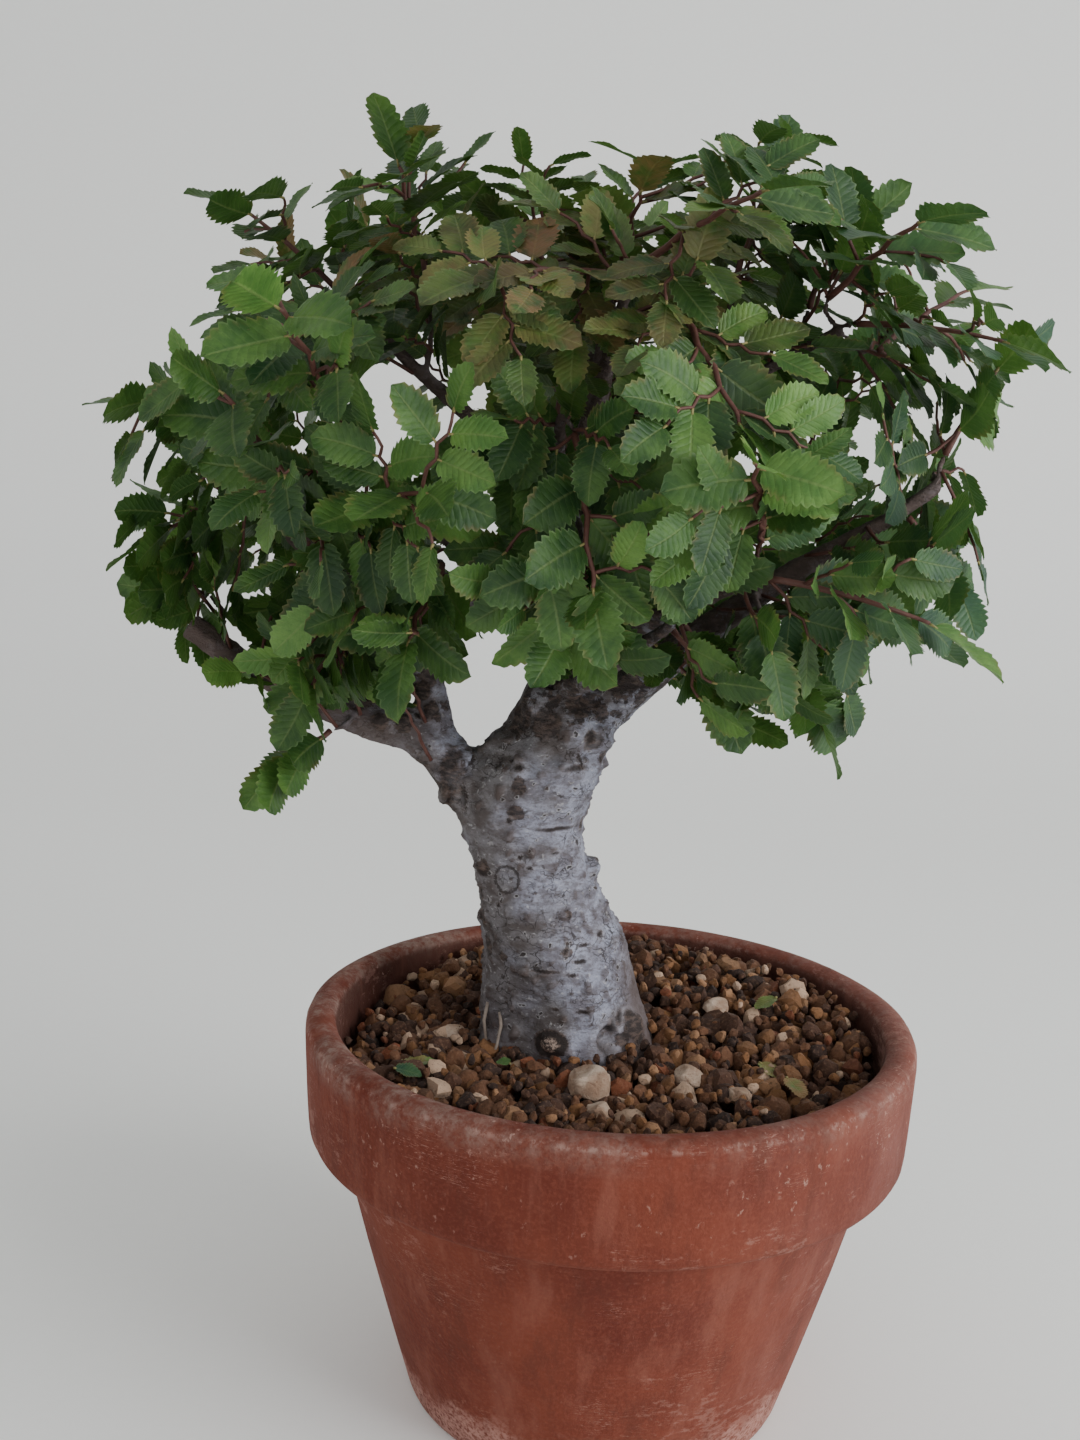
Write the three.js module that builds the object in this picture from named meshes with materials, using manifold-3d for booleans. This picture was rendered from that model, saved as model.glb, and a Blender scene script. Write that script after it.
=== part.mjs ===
// A Japanese zelkova grown as a small bonsai in a low terracotta pot.
// Millimetres, +Z up. The front, as it is shown, looks along +Y, and right is +X. Every place below is
// measured from the pot's axis at table height. At the end the group is shifted to centre its box.
//
// The pot is turned and fired. Clay granules fill it, with a few pale stones and fallen leaves on them.
// The trunk stands in a plain hole in the granules and is one piece of wood with its branches, and
// each leafy spray is a twig with its toothed leaves, which takes up where a branchlet ends.
import * as THREE from "three";
import { mergeVertices } from "three/addons/utils/BufferGeometryUtils.js";
import Module from "manifold-3d";

// Driving dimensions.
const GAP = 0.3; // between pieces that rest on each other

// the pot
const POT_HEIGHT = 84;
const RIM_RADIUS = 65;
const MOUTH_RADIUS = 58.5;
const BAND_HEIGHT = 26; // the thick band below the lip
const BAND_FOOT_RADIUS = 64;
const BODY_TOP_RADIUS = 57.5; // where the body comes out from under the band
const FOOT_RADIUS = 41.5;
const FLOOR = 7;
const WALL = 6;
const DRAIN_RADIUS = 6;
const LIP_ROUND = 2;
const POT_SIDES = 36;

// the granules
const SOIL_EDGE = 73; // their level at the pot's wall, in front
const SOIL_MOUND = 3; // how much higher they lie at the trunk
const SOIL_BANK = 7; // how much higher they are heaped against the wall at the back and right
const GRAIN = 11.5; // from one raised granule to the next
const GRAIN_RELIEF = 2.6;
const SOIL_SIDES = 32;

// the trunk: [height, across, deep, radius], from its foot in the granules to the fork
const TRUNK_FOOT = 58;
const TRUNK_SIDES = 16;
const TRUNK = [
  [TRUNK_FOOT, -9, 8, 19],
  [70, -9, 8, 20],
  [75, -9.5, 8, 18.8],
  [79, -9.9, 8, 18],
  [84, -10.6, 7.8, 17.4],
  [90, -11.4, 7.4, 16.8],
  [96, -12.7, 7, 16],
  [102, -14.6, 6.2, 14.8],
  [108, -16.7, 5.6, 13.5],
  [114, -18.8, 5.2, 12.5],
  [120, -20.5, 5, 12.6],
  [126, -21.3, 5, 13.9],
  [131, -19.8, 5, 14.8],
  [137, -17.3, 5, 14.4],
  [143, -14.4, 5.4, 12.2],
  [149, -13.2, 5.8, 10],
  [153, -13.4, 6.2, 8.4],
];
const ROOT_TOP = 92; // above this the trunk no longer flares into roots

// the limbs: points [across, deep, height, radius], from inside the wood outwards
const LIMB_SIDES = 5;
const LIMBS = [
  // the leader, up from the fork through the crown
  [
    [-15, 6, 146, 8.4], [-14.8, 7, 158, 6.2], [-17.5, 9, 173, 4.4],
    [-12, 9, 194, 3.4], [-8, 7, 222, 2.2], [-7, 5, 238, 1.5],
  ],
  // the left limb, which ends in a brown cut stub, and the grey one that rises from it
  [
    [-27, 5, 127.5, 7.4], [-34.5, 4.5, 133.2, 6.2], [-39, 4, 138.4, 5.6], [-45, 3.5, 142.6, 5.4],
    [-53, 3, 143.8, 4.8], [-64, 1, 147.2, 3.4], [-80, 0, 155, 3], [-92, -1, 163, 3.1],
  ],
  [[-40, 5, 140, 5], [-42, 5, 153, 3.7], [-52, 5, 166, 2.8], [-71, 4, 182, 2.1], [-80, 2, 199, 1.4]],
  // right
  [
    [-10, 5, 143, 7], [-1, 5, 152, 5.4], [14, 3, 165, 3.6],
    [32, 1, 179, 2.6], [51, -1, 191, 1.8], [60, -2, 198, 1.5],
  ],
  // towards the viewer
  [[-14, 5, 152, 3.6], [-6, -12, 158, 2.4], [2, -26, 166, 1.7], [8, -38, 172, 1.2]],
  [[-12, 4, 154, 3.6], [-2, -10, 166, 2.6], [10, -24, 174, 1.9], [22, -34, 180, 1.3]],
  [[-16, 7, 160, 3.6], [-28, -8, 171, 2.6], [-42, -22, 179, 1.9], [-54, -31, 183, 1.3]],
  [[-17, 9, 175, 3.2], [-16, -8, 189, 2.4], [-15, -24, 200, 1.7], [-14, -36, 208, 1.2]],
  // away from the viewer
  [[-16, 8, 160, 3.6], [-28, 24, 171, 2.6], [-44, 38, 182, 1.9], [-56, 46, 190, 1.3]],
  [[-14, 8, 162, 3.6], [1, 24, 172, 2.6], [17, 38, 182, 1.9], [30, 46, 190, 1.3]],
  // up in the crown
  [[-12, 9, 190, 2.8], [4, 8, 205, 2.1], [22, 6, 218, 1.6], [39, 3, 228, 1.2]],
  [[-13, 9, 188, 2.8], [-30, 8, 204, 2.1], [-47, 5, 218, 1.6], [-60, 3, 230, 1.2]],
  [[-10, 8, 204, 2.4], [-10, 24, 219, 1.7], [-12, 37, 230, 1.2]],
  [[-9, 7, 210, 2.4], [-6, -9, 224, 1.7], [-3, -24, 233, 1.2]],
];

// the crown: a rounded dome of leaves about this centre
const CROWN = [-15, 5, 203];
const CROWN_ACROSS = 92;
const CROWN_DEEP = 64;
const CROWN_UP = 60;
const CROWN_DOWN = 58;

// the leafy sprays
const SPRAYS = 46;
const SPRAY_LENGTH = 30;
const SPRAY_APART = 23; // from the middle of one spray to the next
const INSIDE_CROWN = 9; // how far a twig stays inside the leaves' outline
const TWIG_FOOT = 0.95; // its radius
const TWIG_TIP = 0.7;
const BARE_SHARE = 0.14; // the part of a twig below its first leaf
const LEAVES_ON_SPRAY = 6;
const DOME_TRIES = 151;
const DOME_LOWEST = -0.8;
// twigs that give the crown its outline from the front: foot, then tip
const OUTLINE_TWIGS = [
  [[-62, 3, 232], [-81, 0, 247]],
  [[-43, -4, 232], [-48, -12, 254]],
  [[-20, 7, 232], [-24, 20, 250]],
  [[-6, 3, 232], [-2, -14, 250]],
  [[18, 6, 236], [24, 10, 259]],
  [[33, 6, 232], [39, 4, 246]],
  [[61, -1, 204], [71, 2, 222]],
  [[54, -5, 192], [64, -8, 179]],
  [[26, -12, 172], [38, -15, 153]],
  [[10, -14, 170], [17, -18, 160]],
  [[-60, -6, 143], [-69, -9, 137]],
  [[-89, 4, 169], [-96, 5, 170]],
  [[-80, 0, 188], [-96, -4, 183]],
  [[-84, 3, 204], [-101, 0, 209]],
  [[-9, -30, 182], [-12, -42, 170]],
  [[-36, -24, 180], [-40, -38, 167]],
  [[-54, -14, 168], [-62, -22, 154]],
];

// a leaf
const LEAF_LENGTH = 16;
const LEAF_WIDTH = 9.8;
const LEAF_THICK = 0.7;
const LEAF_STALK = 0.9; // the width of its short stalk
const LEAF_FOLD = 0.24; // how far the halves rise, per mm away from the rib
// its edge from the stalk to the tip, with two teeth: [share of the length, share of the half width]
const LEAF_EDGE = [[0.33, 0.9], [0.42, 0.78], [0.66, 0.84]];

// ways for a leaf to stand clear of its neighbours: turned about its face, rolled about its rib, smaller
const WAYS = [
  [0, 0, 1],
  [0.35, 0, 1],
  [-0.35, 0, 1],
  [0, 0.5, 1],
  [0, -0.5, 1],
  [0.6, 0.4, 0.95],
  [-0.6, -0.4, 0.95],
  [0.3, -0.8, 0.9],
  [-0.3, 0.8, 0.9],
  [0.9, 0, 0.85],
  [-0.9, 0, 0.85],
  [0, 1.1, 0.8],
  [0, -1.1, 0.8],
];

// pale stones among the granules: [across, deep, and half their length, width and height]
const STONES = [
  [-3, -22, 3.9, 4.2, 3.4],
  [-1, -32, 2.6, 2.4, 2],
  [17, -13, 3.2, 2.6, 2.2],
  [27, -20, 2.6, 2.2, 2],
  [24, 16.5, 3, 2.6, 2.2],
  [-34, 2, 2.4, 2, 1.9],
];
// leaves that have fallen on the granules: [across, deep, turn]
const FALLEN = [
  [-44, -17, 0.5],
  [38, -13, 2.2],
];

// Helpers.
const wasm = await Module();
wasm.setup();

const V = (x, y, z) => new THREE.Vector3(x, y, z);
const mix = (a, b, t) => a + (b - a) * t;
const clamp = THREE.MathUtils.clamp;

// The same two numbers always give the same one: chance from 0 to 1, spread from -1 to 1.
function chance(a, b) {
  const wave = Math.sin(a * 12.9898 + b * 78.233 + 1.7) * 43758.5453;
  return wave - Math.floor(wave);
}
const spread = (a, b) => 2 * chance(a, b) - 1;

function facets(corners, triangles) {
  const geometry = new THREE.BufferGeometry();
  const flat = corners.flatMap((p) => [p.x, p.y, p.z]);
  geometry.setAttribute("position", new THREE.Float32BufferAttribute(flat, 3));
  geometry.setIndex(triangles.flat());
  return geometry;
}

function solidOf(geometry) {
  const bare = geometry.clone();
  bare.deleteAttribute("normal");
  bare.deleteAttribute("uv");
  const merged = mergeVertices(bare, 1e-4);
  const vertProperties = merged.attributes.position.array;
  const triVerts = new Uint32Array(merged.index.array);
  return new wasm.Manifold(new wasm.Mesh({ numProp: 3, vertProperties, triVerts }));
}

function geometryOf(solid) {
  const mesh = solid.getMesh();
  const geometry = new THREE.BufferGeometry();
  geometry.setAttribute("position", new THREE.BufferAttribute(mesh.vertProperties, 3));
  geometry.setIndex(new THREE.BufferAttribute(mesh.triVerts, 1));
  return geometry;
}

// A closed body through rings of equally many points, flat at both ends.
function loft(rings) {
  const sides = rings[0].length;
  const last = (rings.length - 1) * sides;
  const middles = [rings[0], rings[rings.length - 1]].map((ring) =>
    ring.reduce((sum, p) => sum.addScaledVector(p, 1 / sides), V(0, 0, 0)),
  );
  const [footMiddle, endMiddle] = [last + sides, last + sides + 1];
  const triangles = [];
  for (let r = 0; r + 1 < rings.length; r++)
    for (let s = 0; s < sides; s++) {
      const a = r * sides + s;
      const b = r * sides + ((s + 1) % sides);
      triangles.push([a, b, b + sides], [a, b + sides, a + sides]);
    }
  for (let s = 0; s < sides; s++) {
    const next = (s + 1) % sides;
    triangles.push([footMiddle, next, s], [endMiddle, last + s, last + next]);
  }
  return solidOf(facets([...rings.flat(), ...middles], triangles));
}

// A tapering stem along a curve. radius(t) runs from its foot at 0 to its tip at 1.
function stem(curve, radius, sides, steps) {
  const rings = [];
  let side = V(0.3, 1, 0.2);
  for (let i = 0; i <= steps; i++) {
    const t = i / steps;
    const centre = curve.getPoint(t);
    const along = curve.getTangent(t);
    side = side.projectOnPlane(along).normalize();
    const other = along.clone().cross(side);
    const ring = [];
    for (let s = 0; s < sides; s++) {
      const turn = (2 * Math.PI * s) / sides;
      const spoke = side.clone().multiplyScalar(Math.cos(turn)).addScaledVector(other, Math.sin(turn));
      ring.push(centre.clone().addScaledVector(spoke, radius(t)));
    }
    rings.push(ring);
  }
  return loft(rings);
}

function turned(outline, sides) {
  const points = outline.map(([r, z]) => new THREE.Vector2(r, z));
  return solidOf(new THREE.LatheGeometry(points, sides).rotateX(Math.PI / 2));
}

const bonsai = new THREE.Group();
function put(name, solid, [color, roughness]) {
  const material = new THREE.MeshStandardMaterial({ color, roughness, metalness: 0 });
  const mesh = new THREE.Mesh(geometryOf(solid), material);
  mesh.name = name;
  bonsai.add(mesh);
}
const TERRACOTTA = [0x84503d, 0.9];
const GRANULES = [0x5d412e, 1];
const BARK = [0x8f8a86, 0.9];
const PUMICE = [0xc9b5a0, 0.95];
const LEAF = [0x47743a, 0.6];
const FALLEN_LEAF = [0x6f8a3c, 0.7];

// The pot.
const bandFoot = POT_HEIGHT - BAND_HEIGHT;
const innerFoot = FOOT_RADIUS - WALL;
const innerAtBand = MOUTH_RADIUS - 1.5;
const pot = turned(
  [
    [DRAIN_RADIUS, 0],
    [FOOT_RADIUS - 1, 0],
    [FOOT_RADIUS, 1.2],
    [BODY_TOP_RADIUS, bandFoot],
    [BAND_FOOT_RADIUS - 1, bandFoot + 0.3],
    [BAND_FOOT_RADIUS, bandFoot + 1.6],
    [RIM_RADIUS, POT_HEIGHT - LIP_ROUND],
    [RIM_RADIUS - LIP_ROUND, POT_HEIGHT],
    [MOUTH_RADIUS + LIP_ROUND / 2, POT_HEIGHT],
    [MOUTH_RADIUS, POT_HEIGHT - LIP_ROUND / 2],
    [innerAtBand, bandFoot],
    [innerFoot, FLOOR],
    [DRAIN_RADIUS, FLOOR],
    [DRAIN_RADIUS, 0],
  ],
  POT_SIDES,
);

// The trunk and its limbs.
// The foot is lobed by its roots, and the wood is lumpy all the way up.
function trunkRing([z, x, y, radius], extra) {
  const flare = clamp((ROOT_TOP - z) / 18, 0, 1);
  const ring = [];
  for (let s = 0; s < TRUNK_SIDES; s++) {
    const turn = (2 * Math.PI * s) / TRUNK_SIDES;
    const roots = 0.09 * flare * Math.cos(5 * turn + 0.9);
    const lumps = 0.045 * Math.sin(3 * turn + z * 0.13) + 0.025 * Math.cos(4 * turn - z * 0.31);
    const r = radius * (1 + roots + lumps) + extra;
    ring.push(V(x + r * Math.cos(turn), y + r * Math.sin(turn), z));
  }
  return ring;
}
const limbCurve = (points) => new THREE.CatmullRomCurve3(points.map(([x, y, z]) => V(x, y, z)));

// The place [x, y, z, radius] at share t of a limb, which runs straight from row to row.
function onLimb(points, t) {
  const place = Math.min(t * (points.length - 1), points.length - 1.001);
  const low = Math.floor(place);
  return points[low].map((value, k) => mix(value, points[low + 1][k], place - low));
}

let wood = loft(TRUNK.map((level) => trunkRing(level, 0)));
const buds = []; // where a branchlet can leave a limb
for (const points of LIMBS) {
  wood = wood.add(stem(limbCurve(points), (t) => onLimb(points, t)[3], LIMB_SIDES, points.length - 1));
  for (let n = 4; n <= 13; n++) {
    const [x, y, z, radius] = onLimb(points, n / 13);
    buds.push({ at: V(x, y, z), radius });
  }
}

// Where the leafy sprays stand.
// Which way is out of the crown at a point.
function outOfCrown(point) {
  const [x, y, z] = CROWN;
  return V((point.x - x) / CROWN_ACROSS, (point.y - y) / CROWN_DEEP, (point.z - z) / CROWN_UP).normalize();
}

// A twig is bowed upwards a little between its foot and its tip.
function twigFrom(foot, tip, seed) {
  const heading = tip.clone().sub(foot).normalize();
  const start = foot.clone().addScaledVector(heading, GAP);
  const middle = start.clone().lerp(tip, 0.5);
  middle.z += 0.06 * start.distanceTo(tip);
  const curve = new THREE.QuadraticBezierCurve3(start, middle, tip);
  const level = Math.abs(heading.z) > 0.85 ? V(Math.cos(seed), Math.sin(seed), 0) : V(0, 0, 1);
  return { curve, heading, level, seed, centre: start.clone().lerp(tip, 0.5) };
}
const twigRadius = (t) => mix(TWIG_FOOT, TWIG_TIP, t);
const sideLeaves = LEAVES_ON_SPRAY - 1;
const ringShares = [0];
for (let n = 0; n <= sideLeaves; n++) ringShares.push(mix(BARE_SHARE, 1, n / sideLeaves));
const leafShare = (i) => mix(BARE_SHARE, 1, (i + 0.5) / sideLeaves);

// The twig's own directions at a share t of its length: along it, and to its side.
function twigFrame({ curve, level }, t) {
  const along = curve.getTangent(t);
  return { centre: curve.getPoint(t), along, side: along.clone().cross(level).normalize() };
}
function twigRing(twig, t, extra) {
  const { centre, along, side } = twigFrame(twig, t);
  const other = along.clone().cross(side);
  return [1, 3, 5, 7].map((eighth) => {
    const turn = (eighth * Math.PI) / 4;
    const spoke = side.clone().multiplyScalar(Math.cos(turn)).addScaledVector(other, Math.sin(turn));
    return centre.clone().addScaledVector(spoke, twigRadius(t) + extra);
  });
}

function touches(a, b) {
  const p = a.boundingBox();
  const q = b.boundingBox();
  if ([0, 1, 2].some((k) => p.min[k] > q.max[k] || q.min[k] > p.max[k])) return false;
  return a.intersect(b).volume() > 1e-5;
}

// A branchlet brings the wood to the foot of a twig, from the bud that is easiest to grow out of.
function nearestBud(foot, heading) {
  const effort = ({ at }) => {
    const way = foot.clone().sub(at);
    return way.length() * (1.6 - way.clone().normalize().dot(heading));
  };
  return buds.reduce((best, next) => (effort(next) < effort(best) ? next : best));
}
function branchlet(bud, foot, heading) {
  const length = bud.at.distanceTo(foot);
  const bend = foot.clone().addScaledVector(heading, -0.4 * length);
  const thick = Math.max(TWIG_FOOT, Math.min(0.8 * bud.radius, 1.6));
  const curve = new THREE.QuadraticBezierCurve3(bud.at, bend, foot);
  return stem(curve, (t) => mix(thick, TWIG_FOOT, t), 3, length > 16 ? 3 : 2);
}

// A twig is taken up when it and its branchlet stand clear of the wood and of the other twigs.
const twigs = [];
function takeUp(bud, foot, tip, seed) {
  const twig = twigFrom(foot, tip, seed);
  twig.roomy = loft(ringShares.map((t) => twigRing(twig, t, GAP)));
  const bough = branchlet(bud, foot, twig.heading);
  const blocked = (other) => touches(other.roomy, bough) || touches(other.roomy, twig.roomy);
  const near = loft(ringShares.map((t) => twigRing(twig, t, 0.1)));
  if (touches(near, bough) || touches(twig.roomy, wood) || twigs.some(blocked)) return false;
  wood = wood.add(bough);
  twigs.push(twig);
  return true;
}
OUTLINE_TWIGS.forEach(([from, to], n) => {
  const foot = V(...from);
  const tip = V(...to);
  const bud = nearestBud(foot, tip.clone().sub(foot).normalize());
  takeUp(bud, foot, tip, n);
});

// The rest are spread evenly over the dome by the golden angle. They grow away from the middle of the tree
// and lean to one side, so that they lie along the outside of the crown.
const GOLDEN = Math.PI * (3 - Math.sqrt(5));
for (let i = 0; i < DOME_TRIES && twigs.length < SPRAYS; i++) {
  const n = (i * 37) % DOME_TRIES;
  const rise = mix(DOME_LOWEST, 0.98, (n + 0.5) / DOME_TRIES);
  const level = Math.sqrt(1 - rise * rise) ** (rise > 0 ? 1 : 0.6);
  const centre = V(
    CROWN[0] + (CROWN_ACROSS - INSIDE_CROWN) * level * Math.cos(n * GOLDEN),
    CROWN[1] + (CROWN_DEEP - INSIDE_CROWN) * level * Math.sin(n * GOLDEN),
    CROWN[2] + ((rise > 0 ? CROWN_UP : CROWN_DOWN) - INSIDE_CROWN) * rise,
  );
  if (twigs.some((other) => other.centre.distanceTo(centre) < SPRAY_APART)) continue;
  const out = outOfCrown(centre);
  const farther = (a, b) => a.at.distanceTo(centre) > b.at.distanceTo(centre);
  const bud = buds.reduce((best, next) => (farther(best, next) ? next : best));
  const lean = V(out.x + 0.9 * spread(i, 1), out.y + 0.9 * spread(i, 2), 0.9 * spread(i, 3) - 0.25);
  const away = centre.clone().sub(bud.at);
  const heading = lean.projectOnPlane(out).normalize().multiplyScalar(0.7);
  heading.add(away.clone().normalize()).normalize();
  const before = Math.max(3, away.length() - SPRAY_LENGTH / 2);
  const foot = bud.at.clone().addScaledVector(away.normalize(), before);
  takeUp(bud, foot, foot.clone().addScaledVector(heading, SPRAY_LENGTH), 100 + i);
}

// The leaves.
// foot is where the stalk begins, ahead runs along the rib, and face is the way that the upper side looks.
// The corners go round the blade from the stalk's right side to its left, first above and then below.
const EDGE_POINTS = LEAF_EDGE.length;
const RIM = 2 * EDGE_POINTS + 3;
const TIP = EDGE_POINTS + 1;
function leafCorners({ foot, ahead, face, size }, extra = 0, from = 0) {
  const length = LEAF_LENGTH * size + extra;
  const half = (LEAF_WIDTH / 2) * size + extra;
  const across = ahead.clone().cross(face).normalize();
  const stalk = LEAF_STALK / 2 / half;
  const edge = [[from, mix(stalk, LEAF_EDGE[0][1], from / LEAF_EDGE[0][0])], ...LEAF_EDGE];
  const rim = [...edge, [1, 0], ...edge.map(([t, w]) => [t, -w]).reverse()];
  return [1, -1].flatMap((up) =>
    rim.map(([t, w]) =>
      foot
        .clone()
        .addScaledVector(ahead, t * length)
        .addScaledVector(across, w * half)
        .addScaledVector(face, LEAF_FOLD * Math.abs(w) * half + (up * (LEAF_THICK + extra)) / 2),
    ),
  );
}
// Both faces are split alike, and the narrow wall between them follows the teeth.
const leafTriangles = [];
for (let i = 0; i < TIP; i++) {
  const split = i ? [[0, i, i + 1], [RIM - 1, RIM - 2 - i, RIM - 1 - i]] : [[0, TIP, RIM - 1]];
  for (const [p, q, r] of split) leafTriangles.push([p, q, r], [p + RIM, r + RIM, q + RIM]);
}
for (let i = 0; i < RIM - 1; i++) leafTriangles.push([i, i + RIM, i + 1], [i + 1, i + RIM, i + 1 + RIM]);
const PAST_STALK = 0.1; // the share of a leaf that is its stalk
const stalkEnd = [[RIM - 1, 2 * RIM - 1, 0], [0, 2 * RIM - 1, RIM]];
function looseLeaf(place, extra, from) {
  return solidOf(facets(leafCorners(place, extra, from), [...leafTriangles, ...stalkEnd]));
}

// Leaf i of a spray: they stand left and right of the twig by turns, and the last one ends it.
function leafPlace(twig, i) {
  const last = i === LEAVES_ON_SPRAY - 1;
  const hand = i % 2 ? 1 : -1;
  const t = last ? 1 : leafShare(i);
  const { centre, along, side } = twigFrame(twig, t);
  const foot = last ? centre : centre.addScaledVector(side, hand * twigRadius(t) * Math.SQRT1_2);
  const out = outOfCrown(foot);
  const turn = last ? 0.2 * spread(twig.seed, i) : hand * (1.1 + 0.2 * spread(twig.seed, i));
  const ahead = along
    .multiplyScalar(Math.cos(turn))
    .addScaledVector(side, Math.sin(turn))
    .addScaledVector(out, 0.15)
    .add(V(0, 0, -0.3))
    .normalize();
  const face = out
    .add(V(0.35 * spread(twig.seed, i + 20), 0.35 * spread(twig.seed, i + 40), 0.4))
    .projectOnPlane(ahead)
    .normalize();
  return { foot, ahead, face, size: 0.98 + 0.14 * spread(twig.seed, i + 60) };
}
function moved({ foot, ahead, face, size }, [turn, roll, share]) {
  const newAhead = ahead.clone().applyAxisAngle(face, turn);
  return { foot, ahead: newAhead, face: face.clone().applyAxisAngle(newAhead, roll), size: size * share };
}

// The leafy sprays.
// A spray is one skin. Its twig is square in section, each leaf grows out of one of the twig's faces,
// and the last leaf out of its end.
function spraySkin(twig, leaves) {
  const corners = ringShares.flatMap((t) => twigRing(twig, t, 0));
  const triangles = [];
  // The four corners of the stalk's section, turned to lie nearest to the four corners that they join.
  const matched = (section, four) => {
    const apart = (shift) => four.reduce((sum, p, n) => sum + p.distanceTo(section[(n + shift) % 4]), 0);
    return [0, 1, 2, 3].reduce((best, next) => (apart(next) < apart(best) ? next : best));
  };
  const addLeaf = (blade, base) => {
    const place = { [RIM]: base[0], [2 * RIM - 1]: base[1], [RIM - 1]: base[2], 0: base[3] };
    for (let n = 0; n < 2 * RIM; n++) place[n] ??= corners.push(blade[n]) - 1;
    for (const three of leafTriangles) triangles.push(three.map((n) => place[n]));
  };
  const stalk = (blade) => [blade[RIM], blade[2 * RIM - 1], blade[RIM - 1], blade[0]];
  for (let j = 0; j + 1 < ringShares.length; j++)
    for (let s = 0; s < 4; s++) {
      const next = (s + 1) % 4;
      const [a, b, c, d] = [4 * j + s, 4 * j + next, 4 * j + 4 + next, 4 * j + 4 + s];
      const growing = j > 0 && s === ((j - 1) % 2 ? 3 : 1) ? leaves[j - 1] : null;
      if (!growing) {
        triangles.push([a, b, c], [a, c, d]);
        continue;
      }
      const quad = [a, b, c, d].map((n) => corners[n]);
      const centre = quad.reduce((sum, p) => sum.add(p), V(0, 0, 0)).multiplyScalar(0.25);
      const acrossTwig = quad[1].clone().sub(quad[0]).normalize();
      const normal = quad[2].clone().sub(quad[0]).cross(quad[3].clone().sub(quad[1])).normalize();
      const alongTwig = normal.clone().cross(acrossTwig);
      const halfWide = 0.42 * quad[0].distanceTo(quad[1]);
      const halfLong = 0.42 * quad[0].distanceTo(quad[3]);
      const blade = leafCorners(growing);
      const section = stalk(blade).map((corner) => {
        const from = corner.clone().sub(centre);
        from.addScaledVector(growing.ahead, -from.dot(normal) / growing.ahead.dot(normal));
        return centre
          .clone()
          .addScaledVector(acrossTwig, clamp(from.dot(acrossTwig), -halfWide, halfWide))
          .addScaledVector(alongTwig, clamp(from.dot(alongTwig), -halfLong, halfLong));
      });
      const base = section.map((p) => corners.push(p) - 1);
      const shift = matched(section, quad);
      const inner = [0, 1, 2, 3].map((n) => base[(n + shift) % 4]);
      [a, b, c, d].forEach((corner, n) => {
        const m = (n + 1) % 4;
        triangles.push([corner, [a, b, c, d][m], inner[m]], [corner, inner[m], inner[n]]);
      });
      addLeaf(blade, base);
    }
  const lastRing = 4 * (ringShares.length - 1);
  triangles.push([0, 2, 1], [0, 3, 2]);
  const ending = leaves[LEAVES_ON_SPRAY - 1];
  if (ending) {
    const blade = leafCorners(ending);
    const ring = [0, 1, 2, 3].map((n) => lastRing + n);
    const shift = matched(stalk(blade), ring.map((n) => corners[n]));
    addLeaf(blade, [0, 1, 2, 3].map((n) => ring[(n + 4 - shift) % 4]));
  } else triangles.push([lastRing, lastRing + 1, lastRing + 2], [lastRing, lastRing + 2, lastRing + 3]);
  return { corners, triangles };
}

// Whether the straight line from p to q passes through the triangle a, b, c.
function pierces(p, q, a, b, c) {
  const way = q.clone().sub(p);
  const u = b.clone().sub(a);
  const v = c.clone().sub(a);
  const cross = way.clone().cross(v);
  const size = u.dot(cross);
  if (Math.abs(size) < 1e-9) return false;
  const from = p.clone().sub(a);
  const s = from.dot(cross) / size;
  const turned = from.clone().cross(u);
  const r = way.dot(turned) / size;
  const t = v.dot(turned) / size;
  return s > 1e-6 && r > 1e-6 && s + r < 1 - 1e-6 && t > 1e-6 && t < 1 - 1e-6;
}
// Whether a skin's triangles cross each other anywhere.
function cutsItself({ corners, triangles }) {
  const flats = triangles.map((three) => {
    const points = three.map((n) => corners[n]);
    return { three, points, box: new THREE.Box3().setFromPoints(points) };
  });
  const through = (a, b) =>
    [0, 1, 2].some((n) => {
      const m = (n + 1) % 3;
      if (b.three.includes(a.three[n]) || b.three.includes(a.three[m])) return false;
      return pierces(a.points[n], a.points[m], ...b.points);
    });
  return flats.some((a, i) =>
    flats.slice(i + 1).some((b) => {
      if (!a.box.intersectsBox(b.box) || a.three.filter((n) => b.three.includes(n)).length > 1) return false;
      return through(a, b) || through(b, a);
    }),
  );
}

const grown = [wood];
const twigSolids = twigs.map((twig) => loft(ringShares.map((t) => twigRing(twig, t, 0))));
const sprays = twigs.map((twig, k) => {
  const others = [...grown, ...twigSolids.slice(k + 1)];
  const own = [twigSolids[k]];
  const leaves = [];
  for (let i = 0; i < LEAVES_ON_SPRAY; i++) {
    const natural = leafPlace(twig, i);
    const last = i === LEAVES_ON_SPRAY - 1;
    const { along, side } = twigFrame(twig, last ? 1 : leafShare(i));
    const outwards = last ? along : side.multiplyScalar(i % 2 ? 1 : -1);
    const fits = WAYS.map((way) => moved(natural, way)).find((place) => {
      if (place.ahead.dot(outwards) < 0.45) return false;
      const roomy = looseLeaf(place, 2 * GAP);
      if (others.some((other) => touches(roomy, other))) return false;
      const blade = looseLeaf(place, 0.1, PAST_STALK);
      if (own.some((other) => touches(blade, other))) return false;
      const trial = [...leaves];
      trial[i] = place;
      return !cutsItself(spraySkin(twig, trial));
    });
    leaves[i] = fits;
    if (fits) own.push(looseLeaf(fits, 0.1, PAST_STALK));
  }
  const { corners, triangles } = spraySkin(twig, leaves);
  const spray = solidOf(facets(corners, triangles));
  grown.push(spray);
  return spray;
});

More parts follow.
